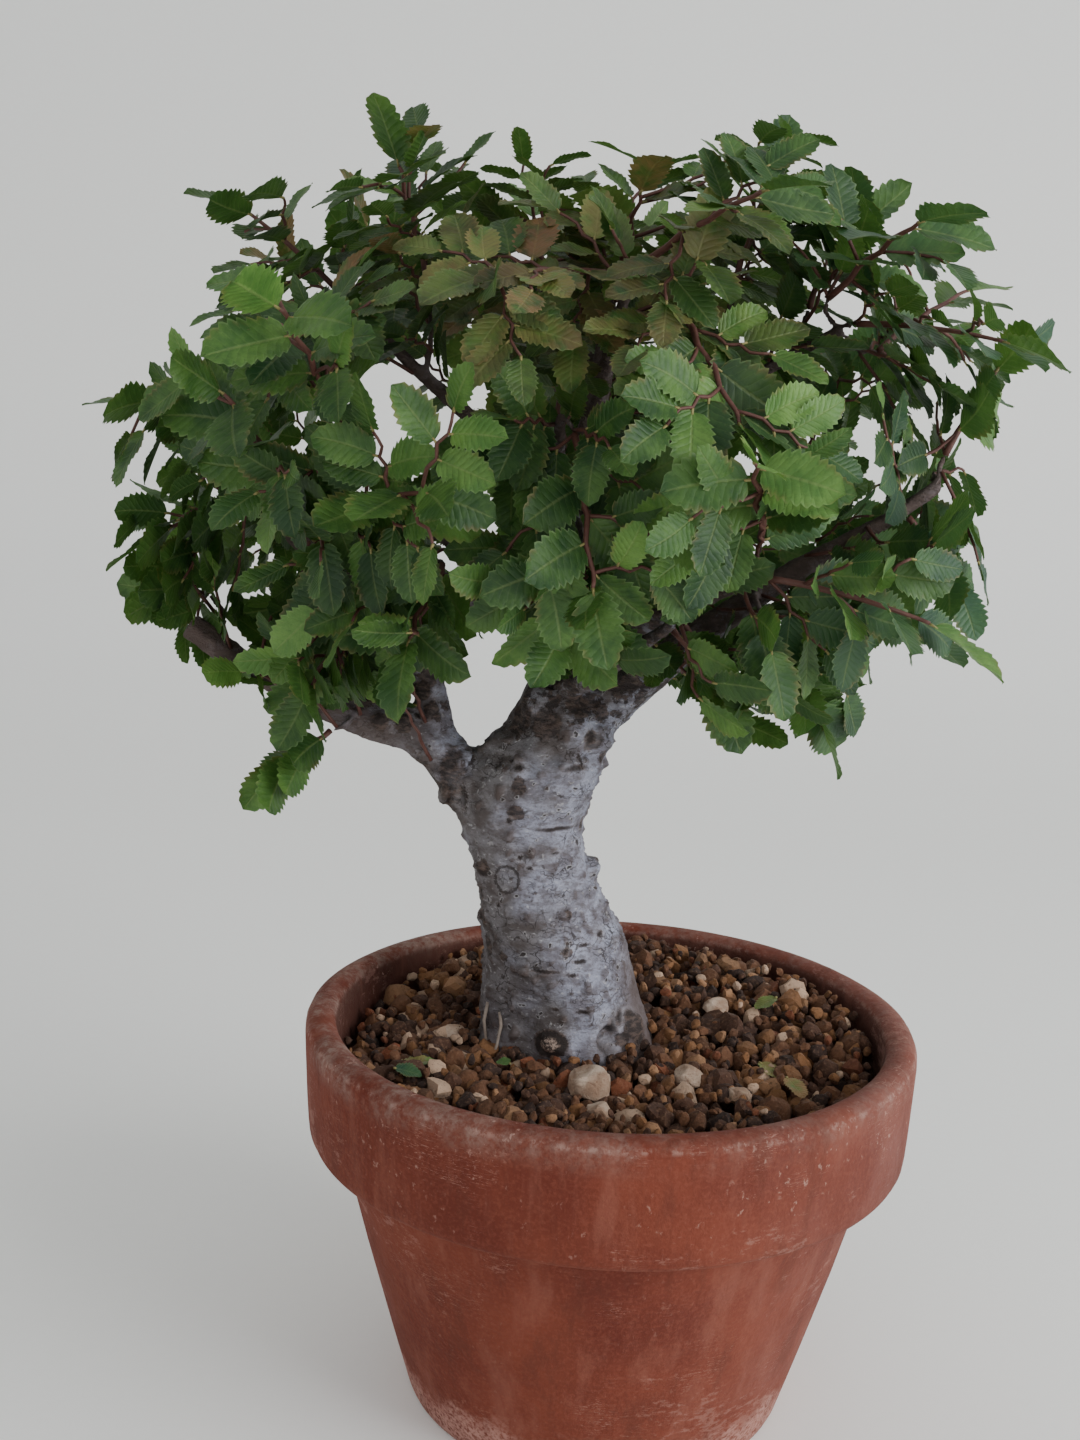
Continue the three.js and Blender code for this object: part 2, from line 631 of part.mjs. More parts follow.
// The granules, the stones and the fallen leaves.
// The granules rise a little towards the trunk, and more towards the back and the right, where they
// come close under the lip. Each is a raised point of the net among lower ones.
function soilLevel(x, y) {
  const mound = Math.exp(-((Math.hypot(x + 9, y - 8) / 34) ** 2));
  const bank = clamp((0.35 * x + y + 10) / 60, 0, 1);
  return SOIL_EDGE + SOIL_MOUND * mound + SOIL_BANK * bank * bank * (3 - 2 * bank);
}
function granuleRelief() {
  const step = GRAIN / Math.sqrt(3);
  const reach = Math.ceil(MOUTH_RADIUS / (step * 0.75));
  const corners = [];
  for (let n = -reach; n <= reach; n++)
    for (let m = -reach; m <= reach; m++) {
      const raised = (((m - n) % 3) + 3) % 3 === 0;
      const wander = raised ? 0.2 * GRAIN : 0.08 * GRAIN;
      const x = (m + n / 2) * step + wander * spread(m, n);
      const y = n * step * Math.sqrt(0.75) + wander * spread(n + 50, m);
      const lift = raised ? 0.5 + 0.35 * spread(m + 90, n) : -0.5 + 0.2 * spread(m - 90, n);
      corners.push(V(x, y, soilLevel(x, y) + lift * GRAIN_RELIEF));
    }
  const side = 2 * reach + 1;
  const count = side * side;
  corners.push(...corners.map((p) => V(p.x, p.y, SOIL_EDGE - 8)));
  const triangles = [];
  for (let n = 0; n < side - 1; n++)
    for (let m = 0; m < side - 1; m++) {
      const a = n * side + m;
      for (const [p, q, r] of [[a, a + 1, a + side], [a + 1, a + side + 1, a + side]])
        triangles.push([p, q, r], [p + count, r + count, q + count]);
    }
  const border = [];
  for (let m = 0; m < side - 1; m++) border.push(m);
  for (let n = 0; n < side - 1; n++) border.push(n * side + side - 1);
  for (let m = side - 1; m > 0; m--) border.push((side - 1) * side + m);
  for (let n = side - 1; n > 0; n--) border.push(n * side);
  border.forEach((p, i) => {
    const q = border[(i + 1) % border.length];
    triangles.push([p, p + count, q], [q, p + count, q + count]);
  });
  return solidOf(facets(corners, triangles));
}

// A stone sunk a little into the granules, with chipped corners. The first two are the largest.
function pebble([x, y, length, width, height], seed, extra) {
  const geometry = new THREE.IcosahedronGeometry(1, seed < 1 ? 1 : 0);
  geometry.deleteAttribute("normal");
  geometry.deleteAttribute("uv");
  const round = mergeVertices(geometry, 1e-4);
  const p = round.attributes.position;
  for (let i = 0; i < p.count; i++) {
    const swell = 1 + 0.16 * spread(seed, i);
    const px = x + (length * swell + extra) * p.getX(i);
    const py = y + (width * swell + extra) * p.getY(i);
    const pz = soilLevel(x, y) + 0.45 * height + (height * swell + extra) * p.getZ(i);
    p.setXYZ(i, px, py, pz);
  }
  return solidOf(round);
}

const fillBottom = FLOOR + GAP;
const fill = turned(
  [
    [0, fillBottom],
    [innerFoot - 2 * GAP, fillBottom],
    [innerAtBand - 2 * GAP, bandFoot],
    [MOUTH_RADIUS - 2 * GAP - 0.2, POT_HEIGHT - 1],
    [0, POT_HEIGHT - 1],
  ],
  SOIL_SIDES,
);
const below = turned([[0, 0], [RIM_RADIUS, 0], [RIM_RADIUS, SOIL_EDGE - 7], [0, SOIL_EDGE - 7]], 12);
let soil = fill.intersect(granuleRelief().add(below));
// The hole that the trunk stands in.
const [, footX, footY, footRadius] = TRUNK[0];
const hole = [[TRUNK_FOOT - GAP, footX, footY, footRadius], ...TRUNK.slice(1, 6)];
soil = soil.subtract(loft(hole.map((level) => trunkRing(level, GAP))));

const pebbles = STONES.map((stone, i) => pebble(stone, i, 0));
STONES.forEach((stone, i) => (soil = soil.subtract(pebble(stone, i, GAP))));
const fallenPlace = ([x, y, turn]) => ({
  foot: V(x, y, soilLevel(x, y) + 0.7),
  ahead: V(Math.cos(turn), Math.sin(turn), 0.1).normalize(),
  face: V(-0.1 * Math.cos(turn), -0.1 * Math.sin(turn), 1).normalize(),
  size: 0.62,
});
const litter = FALLEN.map((place) => looseLeaf(fallenPlace(place), 0));
FALLEN.forEach((place) => (soil = soil.subtract(looseLeaf(fallenPlace(place), 2 * GAP))));

// Everything together.
put("pot", pot, TERRACOTTA);
put("clay_granules", soil, GRANULES);
put("trunk_and_branches", wood, BARK);
const numbered = (name, i) => name + "_" + String(i + 1).padStart(2, "0");
pebbles.forEach((stone, i) => put(numbered("pale_stone", i), stone, PUMICE));
litter.forEach((fallen, i) => put(numbered("fallen_leaf", i), fallen, FALLEN_LEAF));
sprays.forEach((spray, i) => put(numbered("leafy_spray", i), spray, LEAF));

const box = new THREE.Box3().setFromObject(bonsai);
const middle = box.getCenter(V(0, 0, 0));
bonsai.position.set(-middle.x, -middle.y, 0);

export default bonsai;
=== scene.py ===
# A Japanese zelkova grown as a small bonsai, in a low terracotta pot filled with clay granules.
# The script follows the pot and the tree as they are put together: the pot, its filling, the wood, the
# leafy twigs, then the studio. Metres, +Z up, and the viewer of the front looks along +Y.
import itertools
import math
from collections import namedtuple

import bmesh
import bpy
import numpy as np
from mathutils import Matrix, Quaternion, Vector, noise
from mathutils.bvhtree import BVHTree
from mathutils.kdtree import KDTree


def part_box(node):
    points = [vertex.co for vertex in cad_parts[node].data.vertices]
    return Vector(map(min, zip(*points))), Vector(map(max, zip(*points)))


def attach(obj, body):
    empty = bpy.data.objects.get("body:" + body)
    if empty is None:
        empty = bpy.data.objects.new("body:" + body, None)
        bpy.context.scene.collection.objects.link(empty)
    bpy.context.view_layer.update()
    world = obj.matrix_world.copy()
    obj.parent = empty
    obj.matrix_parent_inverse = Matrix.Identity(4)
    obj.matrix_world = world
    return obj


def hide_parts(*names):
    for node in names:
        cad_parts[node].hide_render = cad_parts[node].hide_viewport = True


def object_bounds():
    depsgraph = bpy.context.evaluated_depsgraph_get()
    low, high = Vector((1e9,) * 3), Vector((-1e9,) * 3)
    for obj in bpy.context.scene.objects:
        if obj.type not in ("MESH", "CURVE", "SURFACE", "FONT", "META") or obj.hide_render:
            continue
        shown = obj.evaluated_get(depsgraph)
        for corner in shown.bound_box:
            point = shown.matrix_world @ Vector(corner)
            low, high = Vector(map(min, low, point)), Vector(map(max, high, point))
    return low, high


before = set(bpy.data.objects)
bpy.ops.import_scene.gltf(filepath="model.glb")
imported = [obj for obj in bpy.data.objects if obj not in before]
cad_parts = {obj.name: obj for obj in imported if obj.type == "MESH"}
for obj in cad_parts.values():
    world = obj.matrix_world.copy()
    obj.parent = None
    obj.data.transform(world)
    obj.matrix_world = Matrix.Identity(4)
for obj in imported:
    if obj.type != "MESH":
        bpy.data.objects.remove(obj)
solid_box = [list(corner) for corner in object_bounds()]

# Where the viewer stands: a little above the rim, close in front, turned a touch to the left.
# The lens and the place were fitted to the pot's rim, band and foot in the picture, 1080 by 1440 pixels.
pot_low, pot_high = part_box("pot")
pot_axis = Vector(((pot_low.x + pot_high.x) / 2, (pot_low.y + pot_high.y) / 2, 0))
eye = pot_axis + Vector((0, -0.308944, 0.200912))
eye_right = Vector((0.99717504, 0.06371606, 0.03977704))
eye_down = Vector((0.05016073, -0.17070498, -0.98404457))
eye_ahead = Vector((-0.0559093, 0.98325992, -0.17341879))
PIXELS_PER_RADIAN = 1500
PICTURE_HIGH = 1440
SENSOR_MM = 36

camera = bpy.data.objects.new("camera", bpy.data.cameras.new("camera"))
bpy.context.scene.collection.objects.link(camera)
camera.data.sensor_fit = "VERTICAL"
camera.data.sensor_height = SENSOR_MM
camera.data.lens = SENSOR_MM * PIXELS_PER_RADIAN / PICTURE_HIGH
camera.data.clip_start = 0.01
camera.data.clip_end = 20
turned = Matrix((eye_right, -eye_down, -eye_ahead)).transposed().to_4x4()
camera.matrix_world = Matrix.Translation(eye) @ turned
bpy.context.scene.camera = camera


# The pot: red earthenware, thrown thick with a tall band under the lip, and fired without a glaze.
# Years of watering have left a grey film on the lip and a crust of pale salts round the foot.
def tone(red, green, blue):
    """A colour as the eye reads it, 0 to 255, turned into light."""
    return tuple((part / 255) ** 2.2 for part in (red, green, blue))


def chance(*seeds):
    """The same numbers always give the same draw, from 0 to 1."""
    wave = math.sin(sum(seed * factor for seed, factor in zip(seeds, (12.9898, 78.233, 37.719))) + 1.7)
    return (wave * 43758.5453) % 1


def spread(*seeds):
    """The same from -1 to 1."""
    return 2 * chance(*seeds) - 1


def make_piece(name, points, faces):
    """A piece from its corners, in metres, and its faces, shaded as one round surface."""
    mesh = bpy.data.meshes.new(name)
    mesh.from_pydata([tuple(point) for point in points], [], faces)
    mesh.update()
    mesh.polygons.foreach_set("use_smooth", [True] * len(mesh.polygons))
    piece = bpy.data.objects.new(name, mesh)
    bpy.context.scene.collection.objects.link(piece)
    return piece


class Finish:
    """A material under construction. Its patterns are measured in millimetres on the piece itself."""

    def __init__(self, name):
        self.material = bpy.data.materials.new(name)
        self.material.use_nodes = True
        self.tree = self.material.node_tree
        self.shader = self.tree.nodes["Principled BSDF"]
        here = self.tree.nodes.new("ShaderNodeTexCoord").outputs["Object"]
        self.place = self.vector("MULTIPLY", here, (1000, 1000, 1000))

    def add(self, kind, inputs, output=0, **settings):
        node = self.tree.nodes.new("ShaderNode" + kind)
        for key, value in settings.items():
            setattr(node, key, value)
        for key, value in inputs.items():
            if isinstance(value, bpy.types.NodeSocket):
                self.tree.links.new(value, node.inputs[key])
            elif value is not None:
                node.inputs[key].default_value = value
        return node.outputs[output]

    def math(self, operation, a, b=None, c=None):
        return self.add("Math", {0: a, 1: b, 2: c}, operation=operation)

    def vector(self, operation, a, b=None, output=0):
        return self.add("VectorMath", {0: a, 1: b}, output, operation=operation)

    def times(self, first, *others):
        for other in others:
            first = self.math("MULTIPLY", first, other)
        return first

    def specks(self, grain, detail=4, rough=0.55, stretch=(1, 1, 1), shift=0.0):
        """Cloudy noise whose clouds are about that many millimetres across."""
        moved = self.add(
            "Mapping", {"Vector": self.place, "Scale": stretch, "Location": (shift, shift, shift)}
        )
        inputs = {"Vector": moved, "Scale": 1 / grain, "Detail": detail, "Roughness": rough}
        return self.add("TexNoise", inputs)

    def steps(self, value, low, high):
        """0 below low, 1 above high, and smooth between."""
        inputs = {"Value": value, "From Min": low, "From Max": high}
        return self.add("MapRange", inputs, interpolation_type="SMOOTHSTEP")

    def over(self, share, under, upper):
        """One colour laid over another, as thick as share says."""
        inputs = {0: share, 6: under, 7: upper}
        inputs = {k: (*v, 1) if isinstance(v, tuple) else v for k, v in inputs.items()}
        return self.add("Mix", inputs, output=2, data_type="RGBA")

    def coat(self, under, where, strength, upper):
        """A colour laid over the places that where picks out, as thick as strength says."""
        return self.over(self.times(where, strength), under, upper)

    def near(self, value, middle, far, close):
        """1 where the value is within close of the middle, 0 where it is off by more than far."""
        return self.steps(self.math("ABSOLUTE", self.math("SUBTRACT", value, middle)), far, close)

    def painted(self, name, part):
        """One channel of the colours that a mesh carries at its corners."""
        colour = self.add("Attribute", {}, attribute_name=name)
        return self.add("SeparateColor", {0: colour}, output=part)

    def bump(self, height, distance, strength=1.0, below=None):
        inputs = {"Height": height, "Distance": distance, "Strength": strength, "Normal": below}
        return self.add("Bump", inputs)

    def done(self, colour, roughness, normal=None):
        for key, value in (("Base Color", colour), ("Roughness", roughness), ("Normal", normal)):
            if isinstance(value, bpy.types.NodeSocket):
                self.tree.links.new(value, self.shader.inputs[key])
            elif value is not None:
                self.shader.inputs[key].default_value = value
        return self.material


POT_TURNS = 224
RIM_RADIUS = 65
DRAIN_RADIUS = 6
BAND_FOOT = 58.7
BAND_CORNER_ROWS = range(17, 20)
LIP_ROWS = range(22, 33)
# half the section, from the drain hole over the outside and the lip to the inner floor: radius, height
pot_section = [
    (6, 7), (6, 0.6), (6.6, 0), (20, 0), (34, 0), (40.4, 0), (41.3, 0.5), (41.8, 1.6), (43.9, 8.6),
    (46, 15.8), (48.6, 25), (51.4, 35), (54, 45), (56.2, 53), (57.3, 57.2), (57.9, 58.3), (59.5, 58.5),
    (62.4, 58.7), (63.4, 59.2), (63.9, 60.2), (64.1, 62), (64.4, 67), (64.6, 72), (64.8, 77),
    (64.9, 80.2), (64.8, 81.8), (64.2, 83.1), (63, 83.8), (61.6, 84), (60.2, 83.8), (59, 83.1),
    (58.5, 82), (58.3, 79), (57.9, 72), (57.5, 66), (57, 58), (50, 40), (42, 20), (36, 7.6), (34, 7),
]
points = []
for step in range(POT_TURNS):
    turn = 2 * math.pi * step / POT_TURNS
    for row, (radius, height) in enumerate(pot_section):
        around = Vector((math.cos(turn), math.sin(turn), 0))
        # the wall wavers a little, and the lip has small knocks
        waver = 0.18 * noise.noise(around * 2.3 + Vector((0, 0, height * 0.03)))
        knocks = 0.35 * min(0, noise.noise(around * 17 + Vector((0, 0, height * 0.2))) + 0.25)
        edge = 1 if row in LIP_ROWS or row in BAND_CORNER_ROWS else 0.15
        reach = radius + (waver + knocks * edge if DRAIN_RADIUS < radius and height > 1 else 0)
        points.append(pot_axis + Vector((0, 0, height / 1000)) + around * (min(reach, RIM_RADIUS) / 1000))
rows = len(pot_section)
faces = []
for step in range(POT_TURNS):
    a, b = step * rows, (step + 1) % POT_TURNS * rows
    for row in range(rows):
        below = (row + 1) % rows
        faces.append((a + row, a + below, b + below, b + row))
pot = make_piece("terracotta_pot", points, faces)

clay = Finish("terracotta")
cloud = clay.specks(30, 6, 0.6, shift=7)
fine = clay.specks(0.8, 3)
across, up = (clay.add("SeparateXYZ", {0: clay.place}, output=part) for part in (0, 2))
red = clay.over(clay.steps(cloud, 0.3, 0.7), tone(92, 42, 31), tone(112, 56, 41))
red = clay.coat(red, clay.steps(fine, 0.42, 0.7), 0.25, tone(134, 78, 62))
# a dusty bloom that grows towards the right, partly real dust and partly painted light on the side towards
# the window, and a grey film on the lip that is thickest at the left
cloudy = clay.steps(clay.specks(14, 6, shift=30), 0.35, 0.75)
dust_and_window_light = clay.times(clay.steps(across, 20, 95), clay.math("MULTIPLY_ADD", cloudy, 0.6, 0.4))
red = clay.coat(red, dust_and_window_light, 0.42, tone(150, 106, 98))
patchy = clay.steps(clay.specks(9, 6, 0.7, shift=3), 0.34, 0.66)
left_side = clay.steps(across, 45, -40)
lip = clay.times(clay.steps(up, 76, 83.4), patchy, clay.math("MULTIPLY_ADD", left_side, 0.45, 0.3))
worn = clay.steps(clay.specks(2.2, 6, 0.75, shift=9), 0.4, 0.58)
film = clay.times(lip, clay.math("MULTIPLY_ADD", worn, 0.8, 0.3))
red = clay.over(film, red, tone(140, 120, 110))
# the lip's two edges are rubbed pale
rubbed = clay.steps(clay.specks(2.4, 5, 0.75, shift=19), 0.45, 0.6)
rubbed = clay.times(clay.near(up, 82.4, 0.9, 0.1), rubbed)
red = clay.coat(red, rubbed, 0.28, tone(184, 156, 144))
# painted shade: the wall inside the lip, above the granules, is darkened brown
about = clay.vector("SUBTRACT", clay.place, tuple(pot_axis * 1000))
from_axis = clay.vector("LENGTH", clay.vector("MULTIPLY", about, (1, 1, 0)), output=1)
inside = clay.times(clay.steps(from_axis, 59.4, 58.4), clay.steps(up, 58.6, 61), clay.steps(up, 84, 81))
red = clay.coat(red, inside, 0.85, tone(78, 50, 42))
# salts at the foot, with a ragged upper edge, and splashes of them higher up
ragged = clay.math("MULTIPLY_ADD", clay.specks(12, 6, 0.65, shift=51), 24, -4)
salts = clay.steps(clay.math("SUBTRACT", up, ragged), 4, -3)
salts = clay.times(salts, clay.steps(fine, 0.3, 0.6))
red = clay.coat(red, salts, 0.62, tone(184, 142, 130))
flecks = clay.steps(clay.specks(1.3, 3, 0.6, (1, 1, 0.7), 90), 0.62, 0.7)
where = clay.steps(clay.specks(13, 3, shift=13), 0.46, 0.6)
where = clay.times(where, clay.math("MULTIPLY_ADD", clay.steps(up, 50, 82), 0.8, 0.2))
red = clay.coat(red, clay.times(flecks, where), 0.5, tone(190, 154, 140))
# faint streaks of dust that water has drawn down, and dull rubbed places
streaky = clay.specks(7, 5, 0.6, (1, 1, 0.16), 64)
red = clay.coat(red, clay.steps(streaky, 0.5, 0.68), 0.22, tone(146, 96, 82))
red = clay.coat(red, clay.steps(streaky, 0.46, 0.34), 0.35, tone(82, 44, 34))
scuffed = clay.times(clay.specks(3, 7, 0.8, (0.7, 0.7, 1.8), 140), clay.specks(26, 2, shift=99))
red = clay.coat(red, clay.steps(scuffed, 0.315, 0.36), 0.35, tone(160, 118, 106))
# thin pale scratches, mostly level, and the light line under the band
drawn_out = clay.add("Mapping", {"Vector": clay.place, "Scale": (0.5, 0.5, 5)})
scratch = clay.add("TexNoise", {"Vector": drawn_out, "Scale": 0.35})
here_and_there = clay.steps(clay.specks(16, 2, shift=77), 0.52, 0.66)
scratch = clay.times(clay.near(scratch, 0.5, 0.009, 0.002), here_and_there)
red = clay.coat(red, scratch, 0.45, tone(186, 146, 132))
seam = clay.times(clay.near(up, BAND_FOOT, 0.7, 0.15), clay.steps(clay.specks(7, 3, shift=33), 0.35, 0.6))
red = clay.coat(red, seam, 0.4, tone(186, 138, 120))
# the thrower's rings, the grain of the clay and its dust, in relief
level = clay.add("Mapping", {"Vector": clay.place, "Scale": (0.02, 0.02, 1)})
turned_rings = clay.add("TexNoise", {"Vector": level, "Scale": 0.9, "Detail": 2})
relief = clay.bump(turned_rings, 0.0002, 0.5)
relief = clay.bump(fine, 0.00016, 0.7, relief)
relief = clay.bump(patchy, 0.0004, 0.5, relief)
clay.shader.inputs["Specular IOR Level"].default_value = 0.3
pot.data.materials.append(clay.done(red, clay.math("MULTIPLY_ADD", fine, 0.14, 0.84), relief))
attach(pot, "root")
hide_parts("pot")


# The filling: hard-baked clay granules, sieved to 3 to 6 mm, brown, rust and tan, with a few pink and
# cream ones of pumice and the crumbs between them. They are poured in and heaped up at the back and right.
FILL_RADIUS = 57.4
FRONT_LEVEL = 74
TRUNK_AT = Vector((-9, 8))
TRUNK_RADIUS = 17
JITTER = 0.42
MOUND_HIGH, MOUND_RADIUS = 2.2, 34
BANK_HIGH, BANK_WIDE = 7, 60


def fill_level(x, y):
    """How high the filling stands, all in millimetres from the pot's axis: a low mound, and a bank."""
    mound = math.exp(-((math.hypot(x - TRUNK_AT.x, y - TRUNK_AT.y) / MOUND_RADIUS) ** 2))
    bank = min(1, max(0, (0.35 * x + y + 10) / BANK_WIDE))
    return FRONT_LEVEL + MOUND_HIGH * mound + BANK_HIGH * bank * bank * (3 - 2 * bank)


GRAIN_BREAKS = 5
balls = {}


def ball(rounds):
    """An even net of triangles over a ball of radius 1, finer with each round."""
    if rounds not in balls:
        net = bmesh.new()
        bmesh.ops.create_icosphere(net, subdivisions=rounds + 1, radius=1)
        corners = [corner.co.copy() for corner in net.verts]
        balls[rounds] = corners, [tuple(corner.index for corner in face.verts) for face in net.faces]
        net.free()
    return balls[rounds]


def any_way(*seeds):
    """A drawn direction."""
    return Vector([spread(*seeds, part) for part in (1, 2, 3)])


def grain(middle, size, seed):
    """The corners and faces of one broken, rounded grain about its middle, in millimetres."""
    corners, faces = ball(1)
    turn = Quaternion((0.5, *any_way(seed))).normalized()
    flat = Vector((1, 0.72 + 0.25 * chance(seed, 4), 0.6 + 0.3 * chance(seed, 5)))
    shift = Vector((seed * 3.7 % 91, seed * 1.3 % 57, 0))
    made = []
    for corner in corners:
        # rounded, then broken flat on a few sides
        reach = size * (1 + 0.4 * noise.noise(corner * 1.3 + shift))
        for side in range(GRAIN_BREAKS):
            cut = any_way(seed, side).normalized()
            reach = min(reach, size * (0.55 + 0.25 * chance(seed, side, 4)) / max(0.05, corner.dot(cut)))
        made.append(middle + turn @ (corner * flat) * reach)
    return made, faces


def colour_corners(piece, name, colours):
    """Paints a colour on each corner of the mesh, for its finish to read."""
    layer = piece.data.color_attributes.new(name, "FLOAT_COLOR", "POINT")
    flat = np.ones((len(colours), 4), np.float32)
    flat[:, :3] = colours
    layer.data.foreach_set("color", flat.ravel())


# each colour of the granules and its share
grain_colours = [
    (tone(98, 66, 46), 0.3), (tone(74, 50, 38), 0.24), (tone(124, 86, 56), 0.17), (tone(54, 39, 33), 0.12),
    (tone(146, 108, 78), 0.08), (tone(180, 150, 126), 0.05), (tone(112, 64, 42), 0.04),
]


def grain_colour(seed):
    draw = chance(seed, 8)
    for colour, share in grain_colours:
        draw -= share
        if draw < 0:
            break
    light = 0.7 + 0.5 * chance(seed, 9)
    return [part * light for part in colour]


points, faces, colours = [], [], []
seed = 0
bed, top, crumbs = (3.1, 4.9, -2.6, 0), (2.7, 4.5, -0.9, 0.3), (1.2, 2.9, 0.3, 0.3)
for size, apart, lift, gaps in (bed, top, crumbs):
    # each layer is a jittered honeycomb, with that share of its cells left out
    for row in range(-36, 37):
        for column in range(-36, 37):
            seed += 1
            x = (column + row / 2) * apart + JITTER * apart * spread(seed, 11)
            y = row * apart * 0.866 + JITTER * apart * spread(seed, 12)
            reach = size * (0.7 + 0.65 * chance(seed, 13))
            if chance(seed, 14) < gaps:
                continue
            if math.hypot(x, y) > FILL_RADIUS - reach * 0.8:
                continue
            if (Vector((x, y)) - TRUNK_AT).length < TRUNK_RADIUS + 0.2 * reach:
                continue
            height = fill_level(x, y) + lift + 0.9 * spread(seed, 15)
            made, net = grain(Vector((x, y, height)), reach, seed)
            faces += [tuple(len(points) + corner for corner in face) for face in net]
            points += made
            colours += [grain_colour(seed)] * len(made)
granules = make_piece("clay_granules_poured", [pot_axis + point / 1000 for point in points], faces)
granules.data.set_sharp_from_angle(angle=math.radians(34))
colour_corners(granules, "grain", colours)

baked = Finish("baked_clay")
own = baked.add("Attribute", {}, attribute_name="grain")
pores = baked.specks(0.7, 4, 0.65)
dust = baked.specks(3.5, 3, shift=20)
brown = baked.coat(own, baked.steps(pores, 0.5, 0.72), 0.3, tone(158, 122, 96))
brown = baked.coat(brown, baked.steps(pores, 0.46, 0.3), 0.6, tone(40, 27, 20))
brown = baked.coat(brown, baked.steps(dust, 0.5, 0.8), 0.25, tone(128, 96, 74))
granules.data.materials.append(baked.done(brown, 0.95, baked.bump(pores, 0.0004, 0.8)))
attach(granules, "root")
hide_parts("clay_granules")


# Six larger stones lie among the granules: pale pumice, porous and dusty, with a few broken faces. They
# came with the granules and lie loose, half sunk in them.
STONE_BREAKS = 8
pumice = Finish("pumice")
cloud = pumice.specks(6, 4, shift=11)
pores = pumice.specks(0.55, 4, 0.7)
pale = pumice.over(pumice.steps(cloud, 0.35, 0.65), tone(156, 126, 104), tone(200, 178, 158))
pale = pumice.coat(pale, pumice.steps(pores, 0.45, 0.3), 0.7, tone(120, 86, 66))
pumice_rough = pumice.done(pale, 0.95, pumice.bump(pores, 0.0005, 0.9))
for name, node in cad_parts.items():
    if not name.startswith("pale_stone"):
        continue
    low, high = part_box(name)
    middle = (low + high) / 2
    half = (high - low) / 2
    corners, net = ball(3)
    seed = int(name[-2:])
    made = []
    for corner in corners:
        blunt = Vector([math.copysign(abs(part) ** 0.7, part) for part in corner])
        for side in range(STONE_BREAKS):
            cut = any_way(seed, side).normalized()
            blunt -= cut * max(0, blunt.dot(cut) - 0.74 - 0.12 * chance(seed, side, 4))
        dent = 1.08 + 0.1 * noise.noise(corner * 1.6 + Vector((seed * 5.1, 0, 0)))
        dent += 0.07 * noise.noise(corner * 5 + Vector((seed * 2.3, 4, 0)))
        made.append(middle + blunt * half * min(dent, 1.12))
    stone = make_piece(name + "_broken", made, net)
    stone.data.set_sharp_from_angle(angle=math.radians(28))
    stone.data.materials.append(pumice_rough)
    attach(stone, "root")
    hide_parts(name)


# The wood: one grown piece, a stout grey trunk that leans left over its root flare, forks at a knobbly
# head and runs out into the limbs. The bark is smooth and pale, finely ringed across, with dark pits.
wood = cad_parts["trunk_and_branches"]
bark = bpy.data.objects.new("bark", wood.data.copy())
bpy.context.scene.collection.objects.link(bark)
bark.data.materials.clear()


def harden(piece, kind, **settings):
    """Puts a modifier on the piece and makes its result the piece's own mesh."""
    modifier = piece.modifiers.new(kind, kind)
    for key, value in settings.items():
        setattr(modifier, key, value)
    made = piece.evaluated_get(bpy.context.evaluated_depsgraph_get())
    mesh = bpy.data.meshes.new_from_object(made)
    piece.modifiers.clear()
    piece.data = mesh


BARK_MESH = 0.00062
harden(bark, "REMESH", mode="VOXEL", voxel_size=BARK_MESH)
harden(bark, "SMOOTH", factor=0.5, iterations=5)
skin = BVHTree.FromObject(bark, bpy.context.evaluated_depsgraph_get())
MIDDLE_ACROSS, MIDDLE_DOWN = 540, 720


def sight(across, down):
    """The way from the eye through a pixel of the picture."""
    aside = eye_right * (across - MIDDLE_ACROSS) + eye_down * (down - MIDDLE_DOWN)
    return (eye_ahead * PIXELS_PER_RADIAN + aside).normalized()


def on_the_bark(across, down):
    """Where the bark shows at a pixel of the picture."""
    return skin.ray_cast(eye, sight(across, down))[0]


# swellings and dents of the bark: the place in the picture, the radius in millimetres and the rise
swellings = [
    (552, 1043, 5.2, 1.1), (552, 1043, 1.8, 0.8), (505, 880, 2.8, -0.3), (458, 775, 4.8, 2.0),
    (463, 756, 3.6, 1.6), (455, 797, 3.8, 1.7), (634, 1026, 4.2, 1.0), (607, 1040, 3.2, -2.8),
    (519, 768, 2.4, 0.9), (560, 770, 3.4, 1.2), (592, 757, 3.4, -1.3), (535, 700, 4.4, 1.6),
    (575, 722, 3.6, 1.3), (602, 738, 3.6, 1.5), (590, 700, 3.2, -1.2), (505, 722, 3.6, -1.6),
    (497, 746, 3.8, 1.2), (588, 868, 2.8, 2.5), (590, 890, 2.6, 1.0), (560, 827, 1.8, -0.7),
    (577, 829, 1.6, -0.7), (380, 720, 2.4, 0.8), (405, 722, 2.2, 0.7), (432, 712, 2.2, 0.8),
    (420, 752, 2.6, 0.8), (480, 868, 1.8, 0.9), (481, 917, 2.0, 1.0), (470, 830, 1.8, 0.7),
    (615, 940, 3.2, 0.7), (486, 975, 2.4, -0.8), (427, 757, 2.0, 1.3), (439, 774, 2.0, 1.3),
    (448, 792, 2.2, 1.5), (470, 775, 1.6, -0.9),
]
WIDEST_SWELLING = 0.0054
swellings = [(on_the_bark(across, down), size, stands) for across, down, size, stands in swellings]


def read_out(items, what, wide, kind=np.float32):
    """One property of all the items of a mesh, a row for each."""
    flat = np.empty(len(items) * wide, kind)
    items.foreach_get(what, flat)
    return flat.reshape(-1, wide)


count = len(bark.data.vertices)
places = read_out(bark.data.vertices, "co", 3)
outward = read_out(bark.data.vertices, "normal", 3)
ends = read_out(bark.data.edges, "vertices", 2, np.int32)
ends = np.concatenate([ends, ends[:, ::-1]])
neighbours = np.bincount(ends[:, 0], minlength=count)


